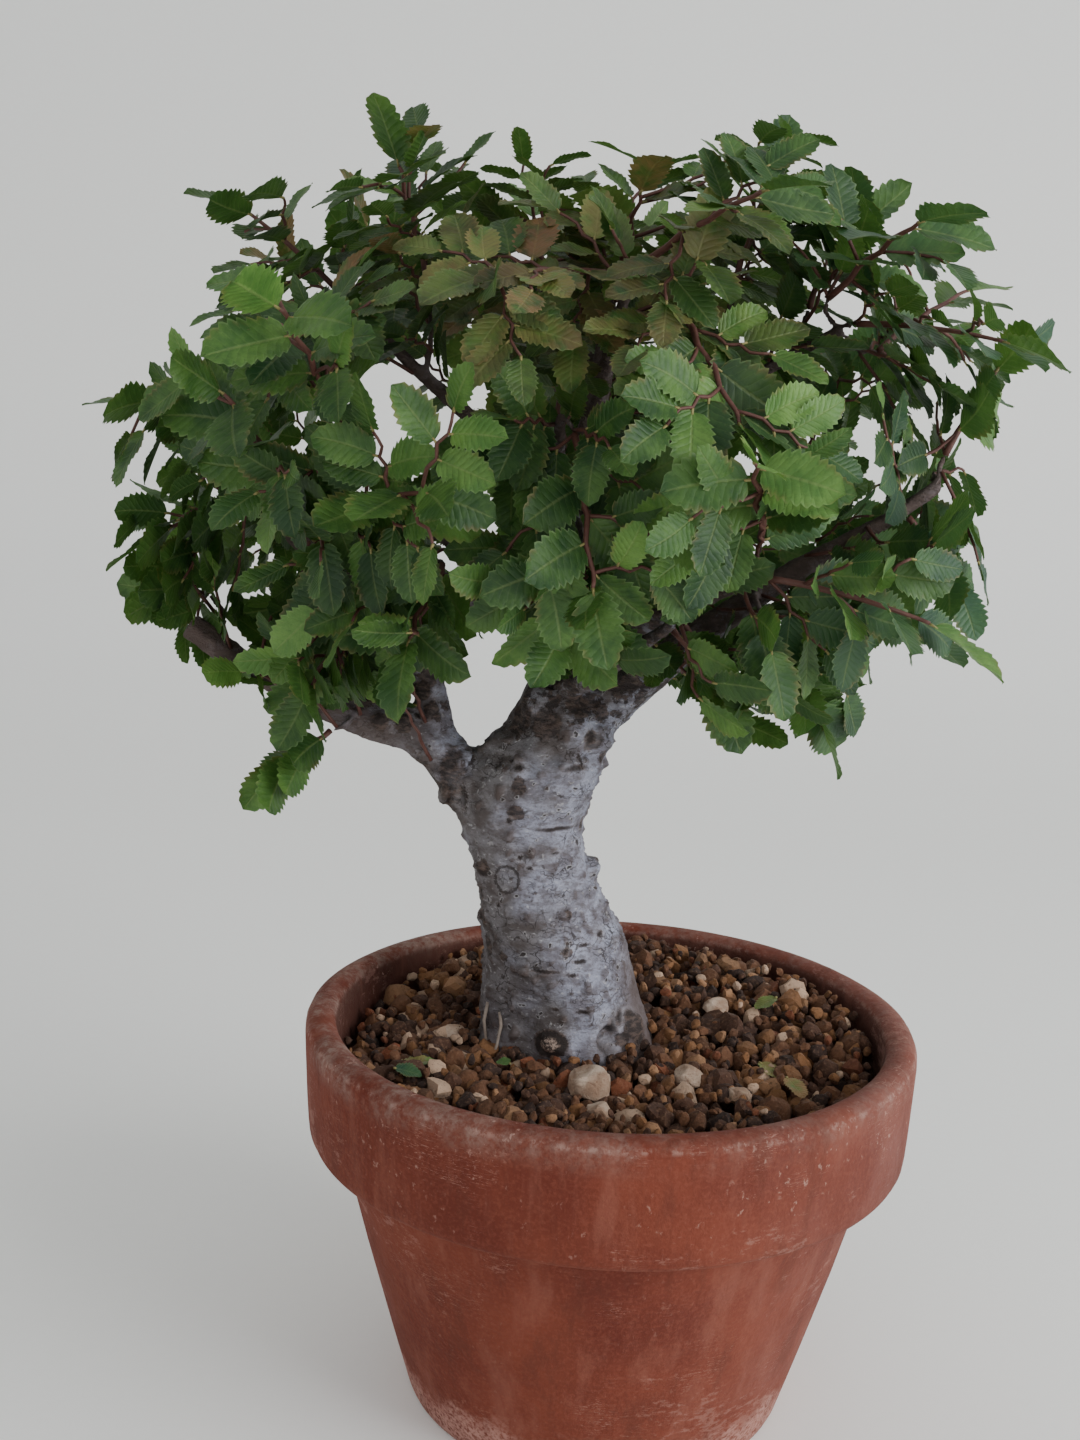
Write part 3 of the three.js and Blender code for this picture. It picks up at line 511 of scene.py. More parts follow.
def settle(values, rounds):
    """Each corner takes the mean of its neighbours, again and again."""
    for turn in range(rounds):
        sums = [np.bincount(ends[:, 0], values[ends[:, 1], part], count) for part in range(3)]
        values = np.stack(sums, axis=1) / neighbours[:, None]
    return values


rounded = settle(places, 70)
sides = settle(outward, 60)
near_marks = KDTree(len(swellings))
for number, mark in enumerate(swellings):
    near_marks.insert(mark[0], number)
near_marks.balance()
shades = np.zeros((count, 3), np.float32)
moved = places.copy()
for number in range(count):
    place = Vector(places[number])
    mm = (place - pot_axis) * 1000
    # stout says how thick the wood is here: 1 on the trunk, 0 out on the branches
    stout = min(1, max(0, (152 - mm.z) / 14)) * min(1, max(0, (16 - abs(mm.x + 16)) / 5 + 1))
    knob = noise.noise(mm * 0.11) * 0.9 + noise.noise(mm * 0.3 + Vector((9, 0, 0))) * 0.35
    rings = noise.noise(Vector((mm.x * 0.12, mm.y * 0.12, mm.z * 1.1)))
    rings += 0.6 * noise.noise(Vector((mm.x * 0.3, mm.y * 0.3, mm.z * 2.3 + 40)))
    head = max(0, 1 - abs(mm.z - 141) / 14)
    warts = max(0, noise.noise(mm * 0.42 + Vector((0, 0, 17))) - 0.3) * 2.6
    warts += max(0, noise.noise(mm * 0.9 + Vector((31, 0, 0))) - 0.3) * 1.3
    lumps = head * 1.3 * noise.noise(mm * 0.25 + Vector((0, 50, 0)))
    rise = stout * (0.55 * knob + 0.16 * rings + warts + lumps)
    rise += (1 - stout) * (0.12 * knob + 0.05 * rings + 0.25 * warts)
    for middle, which, away in near_marks.find_range(place, WIDEST_SWELLING):
        size, stands = swellings[which][1:]
        rise += stands * max(0, 1 - (away * 1000 / size) ** 2)
    # the rounding has taken a little of the stout wood away
    rise += 0.3 * stout
    moved[number] += (rounded[number] - places[number]) * stout + outward[number] * (rise / 1000)
    # thin branches turn reddish brown, and the side away from the window gets painted shade
    far = min(1, max(0, (math.hypot(mm.x + 15, (mm.z - 150) * 0.8) - 18) / 30)) * (1 - stout)
    facing = sides[number][0] / max(0.3, np.linalg.norm(sides[number]))
    shady = 0.5 - 0.5 * facing + 0.5 * noise.noise(mm * 0.13 + Vector((0, 70, 0)))
    shades[number] = (min(1, max(0, shady)), far, min(1, warts))
bark.data.vertices.foreach_set("co", moved.ravel())
bark.data.update()
bark.data.polygons.foreach_set("use_smooth", [True] * len(bark.data.polygons))
colour_corners(bark, "bark", shades)

wooden = Finish("zelkova_bark")
shady = wooden.painted("bark", 0)
twiggy = wooden.painted("bark", 1)
warty = wooden.painted("bark", 2)
height = wooden.add("SeparateXYZ", {0: wooden.place}, output=2)
cloud = wooden.specks(6, 5, 0.6, (1, 1, 1.7))
mottle = wooden.specks(1.7, 5, 0.68, (0.8, 0.8, 1.8), 9)
grain = wooden.specks(0.5, 3, 0.6, shift=60)
# painted light and shade: a pale bluish lit copy of the bark on the window side, and a darker shaded copy on
# the far side
light_side = wooden.over(wooden.steps(cloud, 0.34, 0.62), tone(106, 102, 110), tone(148, 150, 165))
dark_side = wooden.over(wooden.steps(cloud, 0.36, 0.64), tone(80, 72, 70), tone(116, 112, 114))
grey = wooden.over(wooden.steps(shady, 0.15, 0.85), light_side, dark_side)
grey = wooden.coat(grey, wooden.steps(mottle, 0.5, 0.36), 0.6, tone(84, 76, 74))
grey = wooden.coat(grey, wooden.steps(mottle, 0.58, 0.7), 0.45, tone(200, 198, 200))
grey = wooden.coat(grey, wooden.steps(grain, 0.5, 0.34), 0.3, tone(70, 62, 58))
# two nets of hair cracks, mostly level, that show in some places only
wander = wooden.add("TexNoise", {"Vector": wooden.place, "Scale": 0.35, "Detail": 2}, output=1)
wander = wooden.vector("ADD", wooden.vector("MULTIPLY", wander, (5, 5, 5)), wooden.place)
for size, squash, thin, where, strong in ((3.4, 0.42, 0.035, 0.47, 0.8), (1.5, 0.6, 0.06, 0.52, 0.5)):
    flat = wooden.add("Mapping", {"Vector": wander, "Scale": (squash / size, squash / size, 1 / size)})
    net = wooden.add("TexVoronoi", {"Vector": flat, "Scale": 1}, output=0, feature="DISTANCE_TO_EDGE")
    shown = wooden.steps(wooden.specks(8, 3, shift=size * 30), where, where + 0.1)
    net = wooden.times(wooden.steps(net, thin, thin * 0.25), shown)
    grey = wooden.coat(grey, net, strong, tone(48, 40, 38))
# pores: small dark pits, each with a pale swollen rim
scattered = {"Vector": wander, "Scale": 1 / 2.8, "Randomness": 0.9}
cells = wooden.add("TexVoronoi", scattered)
which = wooden.add("SeparateColor", {0: wooden.add("TexVoronoi", scattered, output=1)}, output=0)
chosen = wooden.steps(which, 0.6, 0.64)
rim = wooden.times(wooden.steps(cells, 0.3, 0.2), chosen)
pit = wooden.times(wooden.steps(cells, 0.19, 0.12), chosen)
grey = wooden.coat(grey, rim, 0.4, tone(186, 182, 182))
grey = wooden.coat(grey, pit, 0.9, tone(44, 36, 34))
grey = wooden.coat(grey, wooden.steps(warty, 0.05, 0.5), 0.55, tone(76, 62, 56))
# the head and the limbs carry dark brown corky patches
below_the_head = wooden.times(wooden.steps(height, 158, 134), 0.2)
corky = wooden.math("SUBTRACT", wooden.specks(4.2, 6, 0.66, shift=71), below_the_head)
corky = wooden.steps(corky, 0.44, 0.5)
cork = wooden.over(wooden.steps(mottle, 0.42, 0.62), tone(42, 33, 30), tone(88, 72, 64))
grey = wooden.coat(grey, corky, 0.88, cork)
brown = wooden.over(cloud, tone(58, 44, 40), tone(104, 88, 82))
grey = wooden.coat(grey, twiggy, 0.85, brown)
# soil has darkened the foot of the trunk
soiled = wooden.times(wooden.steps(height, 81, 74), wooden.steps(cloud, 0.3, 0.6))
grey = wooden.coat(grey, soiled, 0.5, tone(84, 66, 56))
# marks: the place in the picture, the radius in millimetres, how much lower than wide, and what it is. A
# scar shows as a dark ring only, and the knot is a dark ring round a pale heart, in a patch of cork. A
# patch is ragged brown cork. A pit is black, with cork and a paler rim round it, and a crack is a frayed pit
ragged = wooden.math("MULTIPLY_ADD", wooden.specks(1.4, 4, 0.7, shift=5), 2.8, -1.4)
frayed = wooden.math("MULTIPLY_ADD", wooden.specks(0.55, 4, 0.75, shift=8), 2.2, -1.1)
black = tone(40, 31, 28)
for across, down, radius, flat, kind in (
    (552, 1043, 3.0, 1.25, "knot"), (506, 880, 2.7, 0.95, "scar"), (454, 776, 3.8, 0.5, "patch"),
    (466, 757, 2.4, 0.8, "patch"), (450, 796, 2.6, 0.6, "patch"), (457, 779, 1.4, 0.5, "pit"),
    (471, 768, 1.3, 0.25, "crack"), (464, 798, 1.2, 0.3, "crack"), (462, 760, 1.0, 0.8, "pit"),
    (460, 800, 1.0, 0.8, "pit"), (519, 768, 1.5, 1.2, "pit"), (519, 786, 1.8, 0.7, "patch"),
    (516, 813, 2.5, 1.3, "patch"), (509, 821, 0.9, 1, "pit"),
    (521, 716, 4.6, 0.9, "patch"), (547, 724, 4.2, 1.1, "patch"), (580, 706, 3.6, 1, "patch"),
    (576, 768, 4.0, 4, "crack"), (580, 762, 1.0, 0.3, "crack"), (592, 741, 2.6, 0.9, "patch"),
    (590, 738, 1.5, 0.7, "pit"), (603, 756, 1.8, 0.8, "patch"), (600, 712, 2.2, 0.8, "patch"),
    (557, 829, 5.6, 9, "crack"), (554, 852, 1.2, 1.6, "pit"), (530, 868, 0.9, 1.5, "pit"),
    (520, 858, 0.7, 1, "pit"), (581, 822, 1.3, 0.8, "patch"), (578, 842, 0.9, 1, "pit"),
    (566, 953, 1.6, 1.2, "patch"), (565, 952, 0.9, 1, "pit"), (566, 915, 1.5, 1.4, "patch"),
    (599, 934, 1.2, 1, "pit"), (613, 942, 0.9, 1, "pit"), (584, 945, 2.0, 4, "crack"),
    (580, 962, 2.0, 3, "crack"), (572, 975, 1.6, 3, "crack"), (482, 868, 2.0, 0.8, "patch"),
    (481, 893, 1.5, 0.6, "patch"), (484, 917, 2.2, 0.8, "patch"), (490, 945, 2.2, 0.7, "patch"),
    (504, 956, 1.8, 1.6, "patch"), (498, 905, 0.7, 1, "pit"), (545, 972, 3.6, 7, "crack"),
    (583, 1012, 2.0, 3.5, "crack"), (555, 1010, 1.2, 2, "patch"), (605, 1042, 3.0, 0.8, "pit"),
    (611, 1028, 2.4, 0.8, "pit"), (619, 1017, 1.8, 0.8, "pit"), (627, 1014, 1.8, 1.4, "pit"),
    (632, 1026, 3.4, 0.9, "patch"), (640, 1042, 2.2, 1, "patch"), (622, 1040, 2.0, 1, "patch"),
    (589, 868, 3.0, 1.1, "patch"), (593, 888, 1.2, 1, "patch"), (380, 722, 2.4, 1, "patch"),
    (404, 722, 2.4, 0.8, "patch"), (432, 710, 2.0, 1, "patch"), (422, 690, 2.6, 1, "patch"),
    (402, 706, 1.1, 1, "pit"), (418, 716, 1.0, 1, "pit"), (424, 757, 1.6, 0.6, "patch"),
    (436, 778, 1.4, 0.6, "patch"),
):
    place = on_the_bark(across, down)
    away = wooden.vector("SUBTRACT", wooden.place, tuple(place * 1000))
    away = wooden.vector("LENGTH", wooden.vector("MULTIPLY", away, (1, 1, flat)), output=1)
    if kind == "patch":
        away = wooden.math("ADD", away, ragged)
        grey = wooden.coat(grey, wooden.steps(away, radius, radius * 0.7), 0.9, cork)
        continue
    away = wooden.math("ADD", away, wooden.times(frayed, 1.6 if kind == "crack" else 0.8))
    if kind in ("pit", "crack"):
        rim_shows = 0.16 if kind == "pit" else 0.08
        grey = wooden.coat(grey, wooden.steps(away, radius * 1.9, radius), rim_shows, tone(172, 168, 172))
        grey = wooden.coat(grey, wooden.steps(away, radius * 1.1, radius * 0.7), 0.6, cork)
        grey = wooden.coat(grey, wooden.steps(away, radius * 0.85, radius * 0.3), 0.93, black)
        continue
    if kind == "knot":
        grey = wooden.over(wooden.steps(away, 4.4, 3.6), grey, cork)
        heart = wooden.times(wooden.steps(away, 2.7, 1.9), wooden.steps(grain, 0.4, 0.5))
        grey = wooden.coat(grey, heart, 0.85, tone(164, 142, 128))
    ring_wide, strength = (0.9, 0.95) if kind == "knot" else (0.38, 0.75)
    grey = wooden.coat(grey, wooden.near(away, radius, ring_wide, ring_wide * 0.5), strength, black)
# the mottle, the pits' rims, the cracks, the grain and the cork, in relief
wrinkles = wooden.math("SUBTRACT", wooden.math("ADD", mottle, wooden.times(rim, 0.3)), pit)
wrinkles = wooden.bump(wooden.math("SUBTRACT", wrinkles, wooden.times(net, 0.6)), 0.0005, 0.7)
wrinkles = wooden.bump(grain, 0.0002, 0.5, wrinkles)
wrinkles = wooden.bump(wooden.times(corky, mottle), 0.0008, 0.6, wrinkles)
bark.data.materials.append(wooden.done(grey, 0.84, wrinkles))
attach(bark, "root")
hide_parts("trunk_and_branches")


# Two thin pale rootlets come out of the left side of the trunk's foot and run down into the granules.
# They grew with the wood, so they hang on the same body as its bark, but they are too thin for the ground
# solid.
twigs = {"points": [], "faces": [], "colours": []}


def start_afresh(lists):
    """Empties the lists for the next piece."""
    for key in lists:
        lists[key] = []


def stalk(path, thick_foot, thick_tip, sides, colour=(0.5, 0.5, 0.5)):
    """A thin round stem through the places of a path, added to those that make up the next piece."""
    base = len(twigs["points"])
    side = Vector((0.31, 0.52, 0.79))
    for step, place in enumerate(path):
        along = (path[min(step + 1, len(path) - 1)] - path[max(step - 1, 0)]).normalized()
        side = (side - along * side.dot(along)).normalized()
        other = along.cross(side)
        thick = thick_foot + (thick_tip - thick_foot) * step / (len(path) - 1)
        for turn in range(sides):
            angle = 2 * math.pi * turn / sides
            twigs["points"].append(place + (side * math.cos(angle) + other * math.sin(angle)) * thick)
            twigs["colours"].append(colour)
    for step in range(len(path) - 1):
        for turn in range(sides):
            a, b = base + step * sides + turn, base + step * sides + (turn + 1) % sides
            twigs["faces"].append((a, b, b + sides, a + sides))
    last = base + (len(path) - 1) * sides
    twigs["faces"].append(tuple(range(last, last + sides)))
    twigs["faces"].append(tuple(range(base, base + sides))[::-1])


def on_the_level(across, down, height):
    """The place at a pixel of the picture and at a height in millimetres."""
    way = sight(across, down)
    return eye + way * ((height / 1000 - eye.z) / way.z)


UNDER_THE_GRAINS = 73
for pixels in (
    [(488, 1002), (484, 1020), (486, 1038), (489, 1054)],
    [(500, 1012), (501, 1026), (497, 1044), (492, 1062)],
):
    top = on_the_bark(*pixels[0])
    low = on_the_level(*pixels[-1], UNDER_THE_GRAINS)
    path = []
    for number, pixel in enumerate(pixels):
        share = number / (len(pixels) - 1)
        near = (top - eye).length * (1 - share) + (low - eye).length * share
        path.append(eye + sight(*pixel) * (near - 0.0006 * math.sin(3 * share)))
    stalk(path, 0.00042, 0.00026, 8)
rootlets = make_piece("rootlets", twigs["points"], twigs["faces"])
start_afresh(twigs)
root_skin = Finish("root_skin")
mottle = root_skin.specks(0.9, 3)
pale = root_skin.over(mottle, tone(112, 98, 88), tone(168, 154, 142))
rootlets.data.materials.append(root_skin.done(pale, 0.8, root_skin.bump(mottle, 0.0002, 0.5)))
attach(rootlets, "root")


# The leafy twigs: 46 of them take up where the branchlets end. A twig is thin, red-brown and a little
# zigzag, and carries toothed leaves left and right by turns. The twigs and leaves of the solids are found
# by the solids' own corners: a leaf there is a folded plate, with seven corners on its edge.
Leaf = namedtuple("Leaf", "foot ahead face length half")
PLATE = 0.0007
PLATE_EDGE = 7
SAME = 4e-6
# two pairs of the plate's corners, as shares of the leaf's length, and its width, as a share of the leaf's
WIDE_AT, NARROW_AT, PLATE_WIDTH = 0.66, 0.33, 0.84


def find_leaves(node):
    """The leaves and the foot of the twig of one spray."""
    mesh = node.data
    rounded = np.round(read_out(mesh.vertices, "co", 3).astype(float), 6)
    corners, which = np.unique(rounded, axis=0, return_inverse=True)
    which = which.reshape(-1)
    edges = set()
    for face in mesh.polygons:
        ring = [int(which[corner]) for corner in face.vertices]
        edges |= {tuple(sorted(pair)) for pair in zip(ring, ring[1:] + ring[:1])}
    # the plate's narrow wall: pairs of corners, one on each face
    walls = [(a, b) for a, b in edges if abs(np.linalg.norm(corners[a] - corners[b]) - PLATE) < SAME]
    beside = {wall: [] for wall in walls}
    for first, (a, b) in enumerate(walls):
        for c, d in walls[first + 1:]:
            for e, f in ((c, d), (d, c)):
                if tuple(sorted((a, e))) in edges and tuple(sorted((b, f))) in edges:
                    if np.linalg.norm((corners[e] - corners[a]) - (corners[f] - corners[b])) < SAME:
                        beside[(a, b)].append((c, d))
                        beside[(c, d)].append((a, b))
    leaves, used = [], set()
    for start in walls:
        if start in used or len(beside[start]) != 1:
            continue
        chain = [start]
        while True:
            used.add(chain[-1])
            onward = [wall for wall in beside[chain[-1]] if wall not in used]
            if not onward:
                break
            chain.append(onward[0])
        if len(chain) != PLATE_EDGE:
            continue
        rim = [Vector((corners[a] + corners[b]) / 2) for a, b in chain]
        face = Vector(corners[chain[3][0]] - corners[chain[3][1]]).normalized()
        wide = (rim[2] + rim[4]) / 2
        if (wide - rim[3]).dot(face) < 0:
            face = -face
        ahead = wide - (rim[0] + rim[6]) / 2
        ahead -= face * ahead.dot(face)
        length = ahead.length / (WIDE_AT - NARROW_AT)
        ahead.normalize()
        half = (rim[2] - rim[4]).length / (2 * PLATE_WIDTH)
        foot = rim[3] - ahead * length
        leaves.append(Leaf(foot, ahead, face, length, half))
        used |= set(chain)
    # what is left is the twig: its bare end is its foot
    on_blades = {corner for wall in used for corner in wall}
    stem_corners = [Vector(corners[n]) for n in range(len(corners)) if n not in on_blades]
    middle = sum(stem_corners, Vector()) / len(stem_corners)
    ends = [max(stem_corners, key=lambda corner: (corner - middle).length)]
    ends.append(max(stem_corners, key=lambda corner: (corner - ends[0]).length))
    bare = max(ends, key=lambda end: min((leaf.foot - end).length for leaf in leaves))
    four = sorted(stem_corners, key=lambda corner: (corner - bare).length)[:4]
    leaves.sort(key=lambda leaf: (leaf.foot - bare).length)
    return leaves, sum(four, Vector()) / 4


TEETH = 8
TOOTHED = 0.84


def blade_rows(fine):
    """The blade's edge from the stalk to the tip: shares of the length and of the half width. A tooth
    rises slowly and falls back at once, and has one more corner where the leaf is a fine one."""

    def width(along):
        return along ** 0.6 * (1 - along) ** 0.6 / 0.435

    rows = [(0.06, 0.07), (0.075, width(0.035))]
    step = TOOTHED / TEETH
    for tooth in range(TEETH):
        at = 0.1 + step * tooth
        rows.append((at, width(at) * (0.87 if tooth else 0.95)))
        if fine:
            rows.append((at + 0.42 * step, width(at + 0.42 * step)))
        rows.append((at + 0.8 * step, width(at + 0.8 * step) * 1.07))
    rows += [(0.945, width(0.945) * 0.84), (1.0, 0.03)]
    return rows


blades = {"points": [], "faces": [], "colours": [], "across": [], "along": []}
# the first colour of a stem says how woody it is
WOODY, GREEN_STEM = (0.9, 0.5, 0.5), (0.35, 0.2, 0.5)
columns = (-1, -0.55, 0, 0.55, 1)
LEAF_SHARE = 0.92


def grow_leaf(leaf, seed, fine, looks):
    """One leaf on its short stalk. It is folded along the rib, and its tip and its edges curl a little."""
    foot, ahead, face, length, half = leaf
    length, half = length * LEAF_SHARE, half * LEAF_SHARE
    side = ahead.cross(face)
    base = len(blades["points"])
    fold = 0.28 + 0.1 * spread(seed, 21)
    curl = 0.07 + 0.07 * spread(seed, 22)
    bow = 0.04 * spread(seed, 23)
    rows = blade_rows(fine)
    for along, share in rows:
        for column in columns:
            away = column * share * half
            wave = 0.07 * half * math.sin(along * 11 + column * 2 + seed) * abs(column)
            rise = fold * abs(away) - 0.35 * fold * away * away / half - curl * length * along ** 3 + wave
            place = foot + ahead * (along * length) + side * (away + bow * length * math.sin(3 * along))
            blades["points"].append(place + face * rise)
            blades["colours"].append(looks)
            blades["across"].append(0.5 + 0.5 * column)
            blades["along"].append(along)
    wide = len(columns)
    for row in range(len(rows) - 1):
        for column in range(wide - 1):
            a = base + row * wide + column
            blades["faces"].append((a, a + 1, a + wide + 1, a + wide))
    stem = [foot - face * 0.0001, foot + ahead * (0.04 * length), foot + ahead * (0.1 * length)]
    stalk(stem, 0.00032, 0.00024, 4, GREEN_STEM)


def zigzag(places):
    """A path through the places, rounded between them."""
    path = []
    for step in range(len(places) - 1):
        before = places[max(step - 1, 0)]
        a, b = places[step], places[step + 1]
        after = places[min(step + 2, len(places) - 1)]
        for share in (0, 0.5):
            pull = (b - before) * 0.5
            push = (after - a) * 0.5
            s2, s3 = share * share, share ** 3
            place = a * (2 * s3 - 3 * s2 + 1) + pull * (s3 - 2 * s2 + share)
            path.append(place + b * (3 * s2 - 2 * s3) + push * (s3 - s2))
    path.append(places[-1])
    return path


crown_middle = pot_axis + Vector((-0.015, 0.005, 0.203))
crown_half = Vector((0.092, 0.064, 0.06))


def outwards(place):
    """The way out of the crown there, 1 long at the crown's rounded outside."""
    away = place - crown_middle
    return Vector((away.x / crown_half.x, away.y / crown_half.y, away.z / crown_half.z))


YOUNG_SHARE = 0.11
FULL_FLUSH = 0.6


def leaf_looks(place, seed):
    """How old a leaf is, how much pink-brown it has and how much painted blue reflection of the sky it
    carries.
    """
    out = outwards(place).length
    age = min(1.4, max(0, 1.1 - 0.42 * max(0, out - 0.75) + 0.42 * spread(seed, 31)))
    if chance(seed, 32) < YOUNG_SHARE:
        age = 0.15 + 0.5 * chance(seed, 33)
    # the sun has browned the top of the crown, and the leaves on its right side get a painted blue
    # reflection of the sky
    x, z = (place.x - pot_axis.x) * 1000, place.z * 1000
    sunned = max(0, 1 - math.hypot((x + 14) / 42, (z - 232) / 26))
    flush = FULL_FLUSH * sunned * chance(seed, 34)
    if chance(seed, 35) < 0.03 and z > 222:
        flush = FULL_FLUSH
    blue = min(1, max(0.12, (x - 8) / 50)) * chance(seed, 36)
    return age, flush, blue


# the middle of each leaf, so that those of new ones keep away from it
grown = []
LEAF_MIDDLE = 0.55
spray_paths = []
seed = 0
leafy_sprays = [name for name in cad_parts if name.startswith("leafy_spray")]
for name in sorted(leafy_sprays):
    leaves, foot = find_leaves(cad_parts[name])
    for leaf in leaves:
        seed += 1
        grow_leaf(leaf, seed, True, leaf_looks(leaf.foot, seed))
        grown.append(leaf.foot + leaf.ahead * (leaf.length * LEAF_MIDDLE))
    path = zigzag([foot] + [leaf.foot for leaf in leaves])
    stalk(path, 0.00072, 0.00034, 6, WOODY)
    spray_paths.append(path)


def grow_twigs_and_blades(twig_name, blade_name, replaced=()):
    """Makes the pieces from all that has been grown so far, and lays their finish on them."""
    stems = make_piece(twig_name, twigs["points"], twigs["faces"])
    colour_corners(stems, "stem", twigs["colours"])
    stems.data.materials.append(red_bark)
    leaves = make_piece(blade_name, blades["points"], blades["faces"])
    colour_corners(leaves, "leaf", blades["colours"])
    chart = leaves.data.uv_layers.new(name="blade")
    corners = read_out(leaves.data.loops, "vertex_index", 1, np.int32)[:, 0]
    flat = np.stack([np.array(blades["across"])[corners], np.array(blades["along"])[corners]], axis=1)
    chart.data.foreach_set("uv", flat.astype(np.float32).ravel())
    leaves.data.materials.append(leaf_green)
    for piece in (stems, leaves):
        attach(piece, "root")
        if replaced:
            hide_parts(*replaced)
    start_afresh(twigs)
    start_afresh(blades)


# the twigs are red-brown, and the leaves' own stalks are green
stem_bark = Finish("twig_bark")
woody = stem_bark.painted("stem", 0)
mottle = stem_bark.specks(1.2, 4)
brown = stem_bark.over(mottle, tone(64, 38, 34), tone(104, 66, 56))
colour = stem_bark.over(stem_bark.steps(woody, 0.4, 0.7), tone(128, 120, 72), brown)
red_bark = stem_bark.done(colour, 0.65, stem_bark.bump(mottle, 0.0002, 0.5))

# on a blade, across runs from 0 at the rib to 1 at the edge, and along from the stalk to the tip
blade = Finish("zelkova_leaf")
chart = blade.add("UVMap", {}, uv_map="blade")
across = blade.add("SeparateXYZ", {0: chart}, output=0)
across = blade.math("ABSOLUTE", blade.math("MULTIPLY_ADD", across, 2, -1))
along = blade.add("SeparateXYZ", {0: chart}, output=1)
age, flush, blue = (blade.painted("leaf", part) for part in range(3))
# the side veins slant forward from the rib, one for each tooth, and the blade bulges between them
slant = blade.math("SUBTRACT", along, blade.math("MULTIPLY_ADD", across, 0.2, 0.06))
lane = blade.math("FRACT", blade.times(slant, TEETH / TOOTHED))
from_vein = blade.math("ABSOLUTE", blade.math("SUBTRACT", lane, 0.5))
vein = blade.steps(from_vein, 0.4, 0.49)
rib = blade.steps(across, 0.09, 0.02)
patchy = blade.steps(blade.specks(7, 5, 0.65), 0.36, 0.64)
net = blade.specks(0.45, 3, 0.6)
old = blade.over(patchy, tone(36, 65, 31), tone(72, 103, 47))
young = blade.over(patchy, tone(80, 120, 53), tone(108, 145, 70))
green = blade.over(blade.steps(age, 1.0, 0.1), old, young)
green = blade.coat(green, blade.steps(age, 0.95, 1.35), 0.5, tone(25, 50, 27))
# painted reflection: a blue-green sheen of the sky on the leaves that carry it
green = blade.coat(green, blue, 0.7, tone(44, 78, 68))
green = blade.coat(green, blade.steps(net, 0.45, 0.65), 0.15, tone(40, 64, 36))
green = blade.coat(green, vein, 0.06, tone(140, 166, 100))
green = blade.coat(green, rib, 0.2, tone(146, 158, 100))
# painted highlight: the blade's edge is lightened, as a rim of light along it
green = blade.coat(green, blade.steps(across, 0.88, 1), 0.3, tone(128, 152, 100))
browned = blade.times(blade.steps(across, 0.65, 1), blade.steps(blade.specks(7, 3, shift=12), 0.5, 0.62))
green = blade.coat(green, browned, 0.3, tone(132, 96, 60))
pink = blade.times(flush, blade.steps(blade.specks(3.5, 3, shift=44), 0.25, 0.6))
green = blade.over(pink, green, tone(150, 100, 76))
bulge = blade.math("SUBTRACT", blade.times(from_vein, from_vein, -4), rib)
relief = blade.bump(bulge, 0.0001, 0.75)
relief = blade.bump(net, 0.0001, 0.4, relief)
leaf_green = blade.done(green, blade.math("MULTIPLY_ADD", net, 0.15, 0.43), relief)
blade.shader.inputs["Specular IOR Level"].default_value = 0.35
# some light comes through the blade
through = blade.tree.nodes.new("ShaderNodeBsdfTranslucent")
blade.tree.links.new(blade.over(0.5, green, tone(120, 170, 60)), through.inputs["Color"])
both = blade.tree.nodes.new("ShaderNodeMixShader")
both.inputs[0].default_value = 0.16
blade.tree.links.new(blade.shader.outputs[0], both.inputs[1])
blade.tree.links.new(through.outputs[0], both.inputs[2])
blade.tree.links.new(both.outputs[0], blade.tree.nodes["Material Output"].inputs["Surface"])
grow_twigs_and_blades("spray_twigs", "spray_leaves", leafy_sprays)


# The finer twigs of this year that fill the crown between the main ones. Each grows out of a main twig,
# spreads flat like its neighbours and carries up to six smaller leaves, where they find room and light.
box_low, box_high = [Vector(corner) for corner in solid_box]
INSIDE_THE_BOX = 0.002
CROWN_EDGE = 1.2
# the crown's outline from the front, and the windows in it with their radius, as places in the picture
outline = [
    (72, 390), (150, 325), (225, 255), (170, 180), (260, 158), (331, 150), (345, 92), (425, 92),
    (460, 140), (546, 110), (599, 140), (670, 128), (830, 92), (858, 162), (889, 235), (1012, 285),
    (1055, 370), (992, 440), (985, 500), (998, 620), (900, 640), (862, 755), (760, 755), (700, 692),
    (610, 700), (550, 690), (520, 640), (440, 640), (412, 700), (330, 728), (240, 745), (160, 655),
    (118, 590), (95, 500),
]
windows = [
    (395, 437, 16), (471, 521, 10), (878, 428, 4), (741, 543, 10), (478, 700, 44), (905, 600, 12),
    (979, 345, 12), (529, 660, 10),
]
WINDOW_MARGIN = 9


def in_the_outline(place):
    """Whether the place shows inside the crown's outline and outside its windows."""
    way = place - eye
    near = way.dot(eye_ahead) / PIXELS_PER_RADIAN
    across = MIDDLE_ACROSS + way.dot(eye_right) / near
    down = MIDDLE_DOWN + way.dot(eye_down) / near
    if any(math.hypot(across - x, down - y) < reach + WINDOW_MARGIN for x, y, reach in windows):
        return False
    # a level line from the place crosses the outline an odd number of times if the place is inside
    inside = False
    for (x, y), (u, v) in zip(outline, outline[1:] + outline[:1]):
        if (y > down) != (v > down) and across < x + (down - y) * (u - x) / (v - y):
            inside = not inside
    return inside


CELL = 0.006
taken = {}


def cell_of(place):
    return tuple(int(math.floor(part / CELL)) for part in place)


def take(middle):
    taken.setdefault(cell_of(middle), []).append(middle)


for middle in grown:
    take(middle)


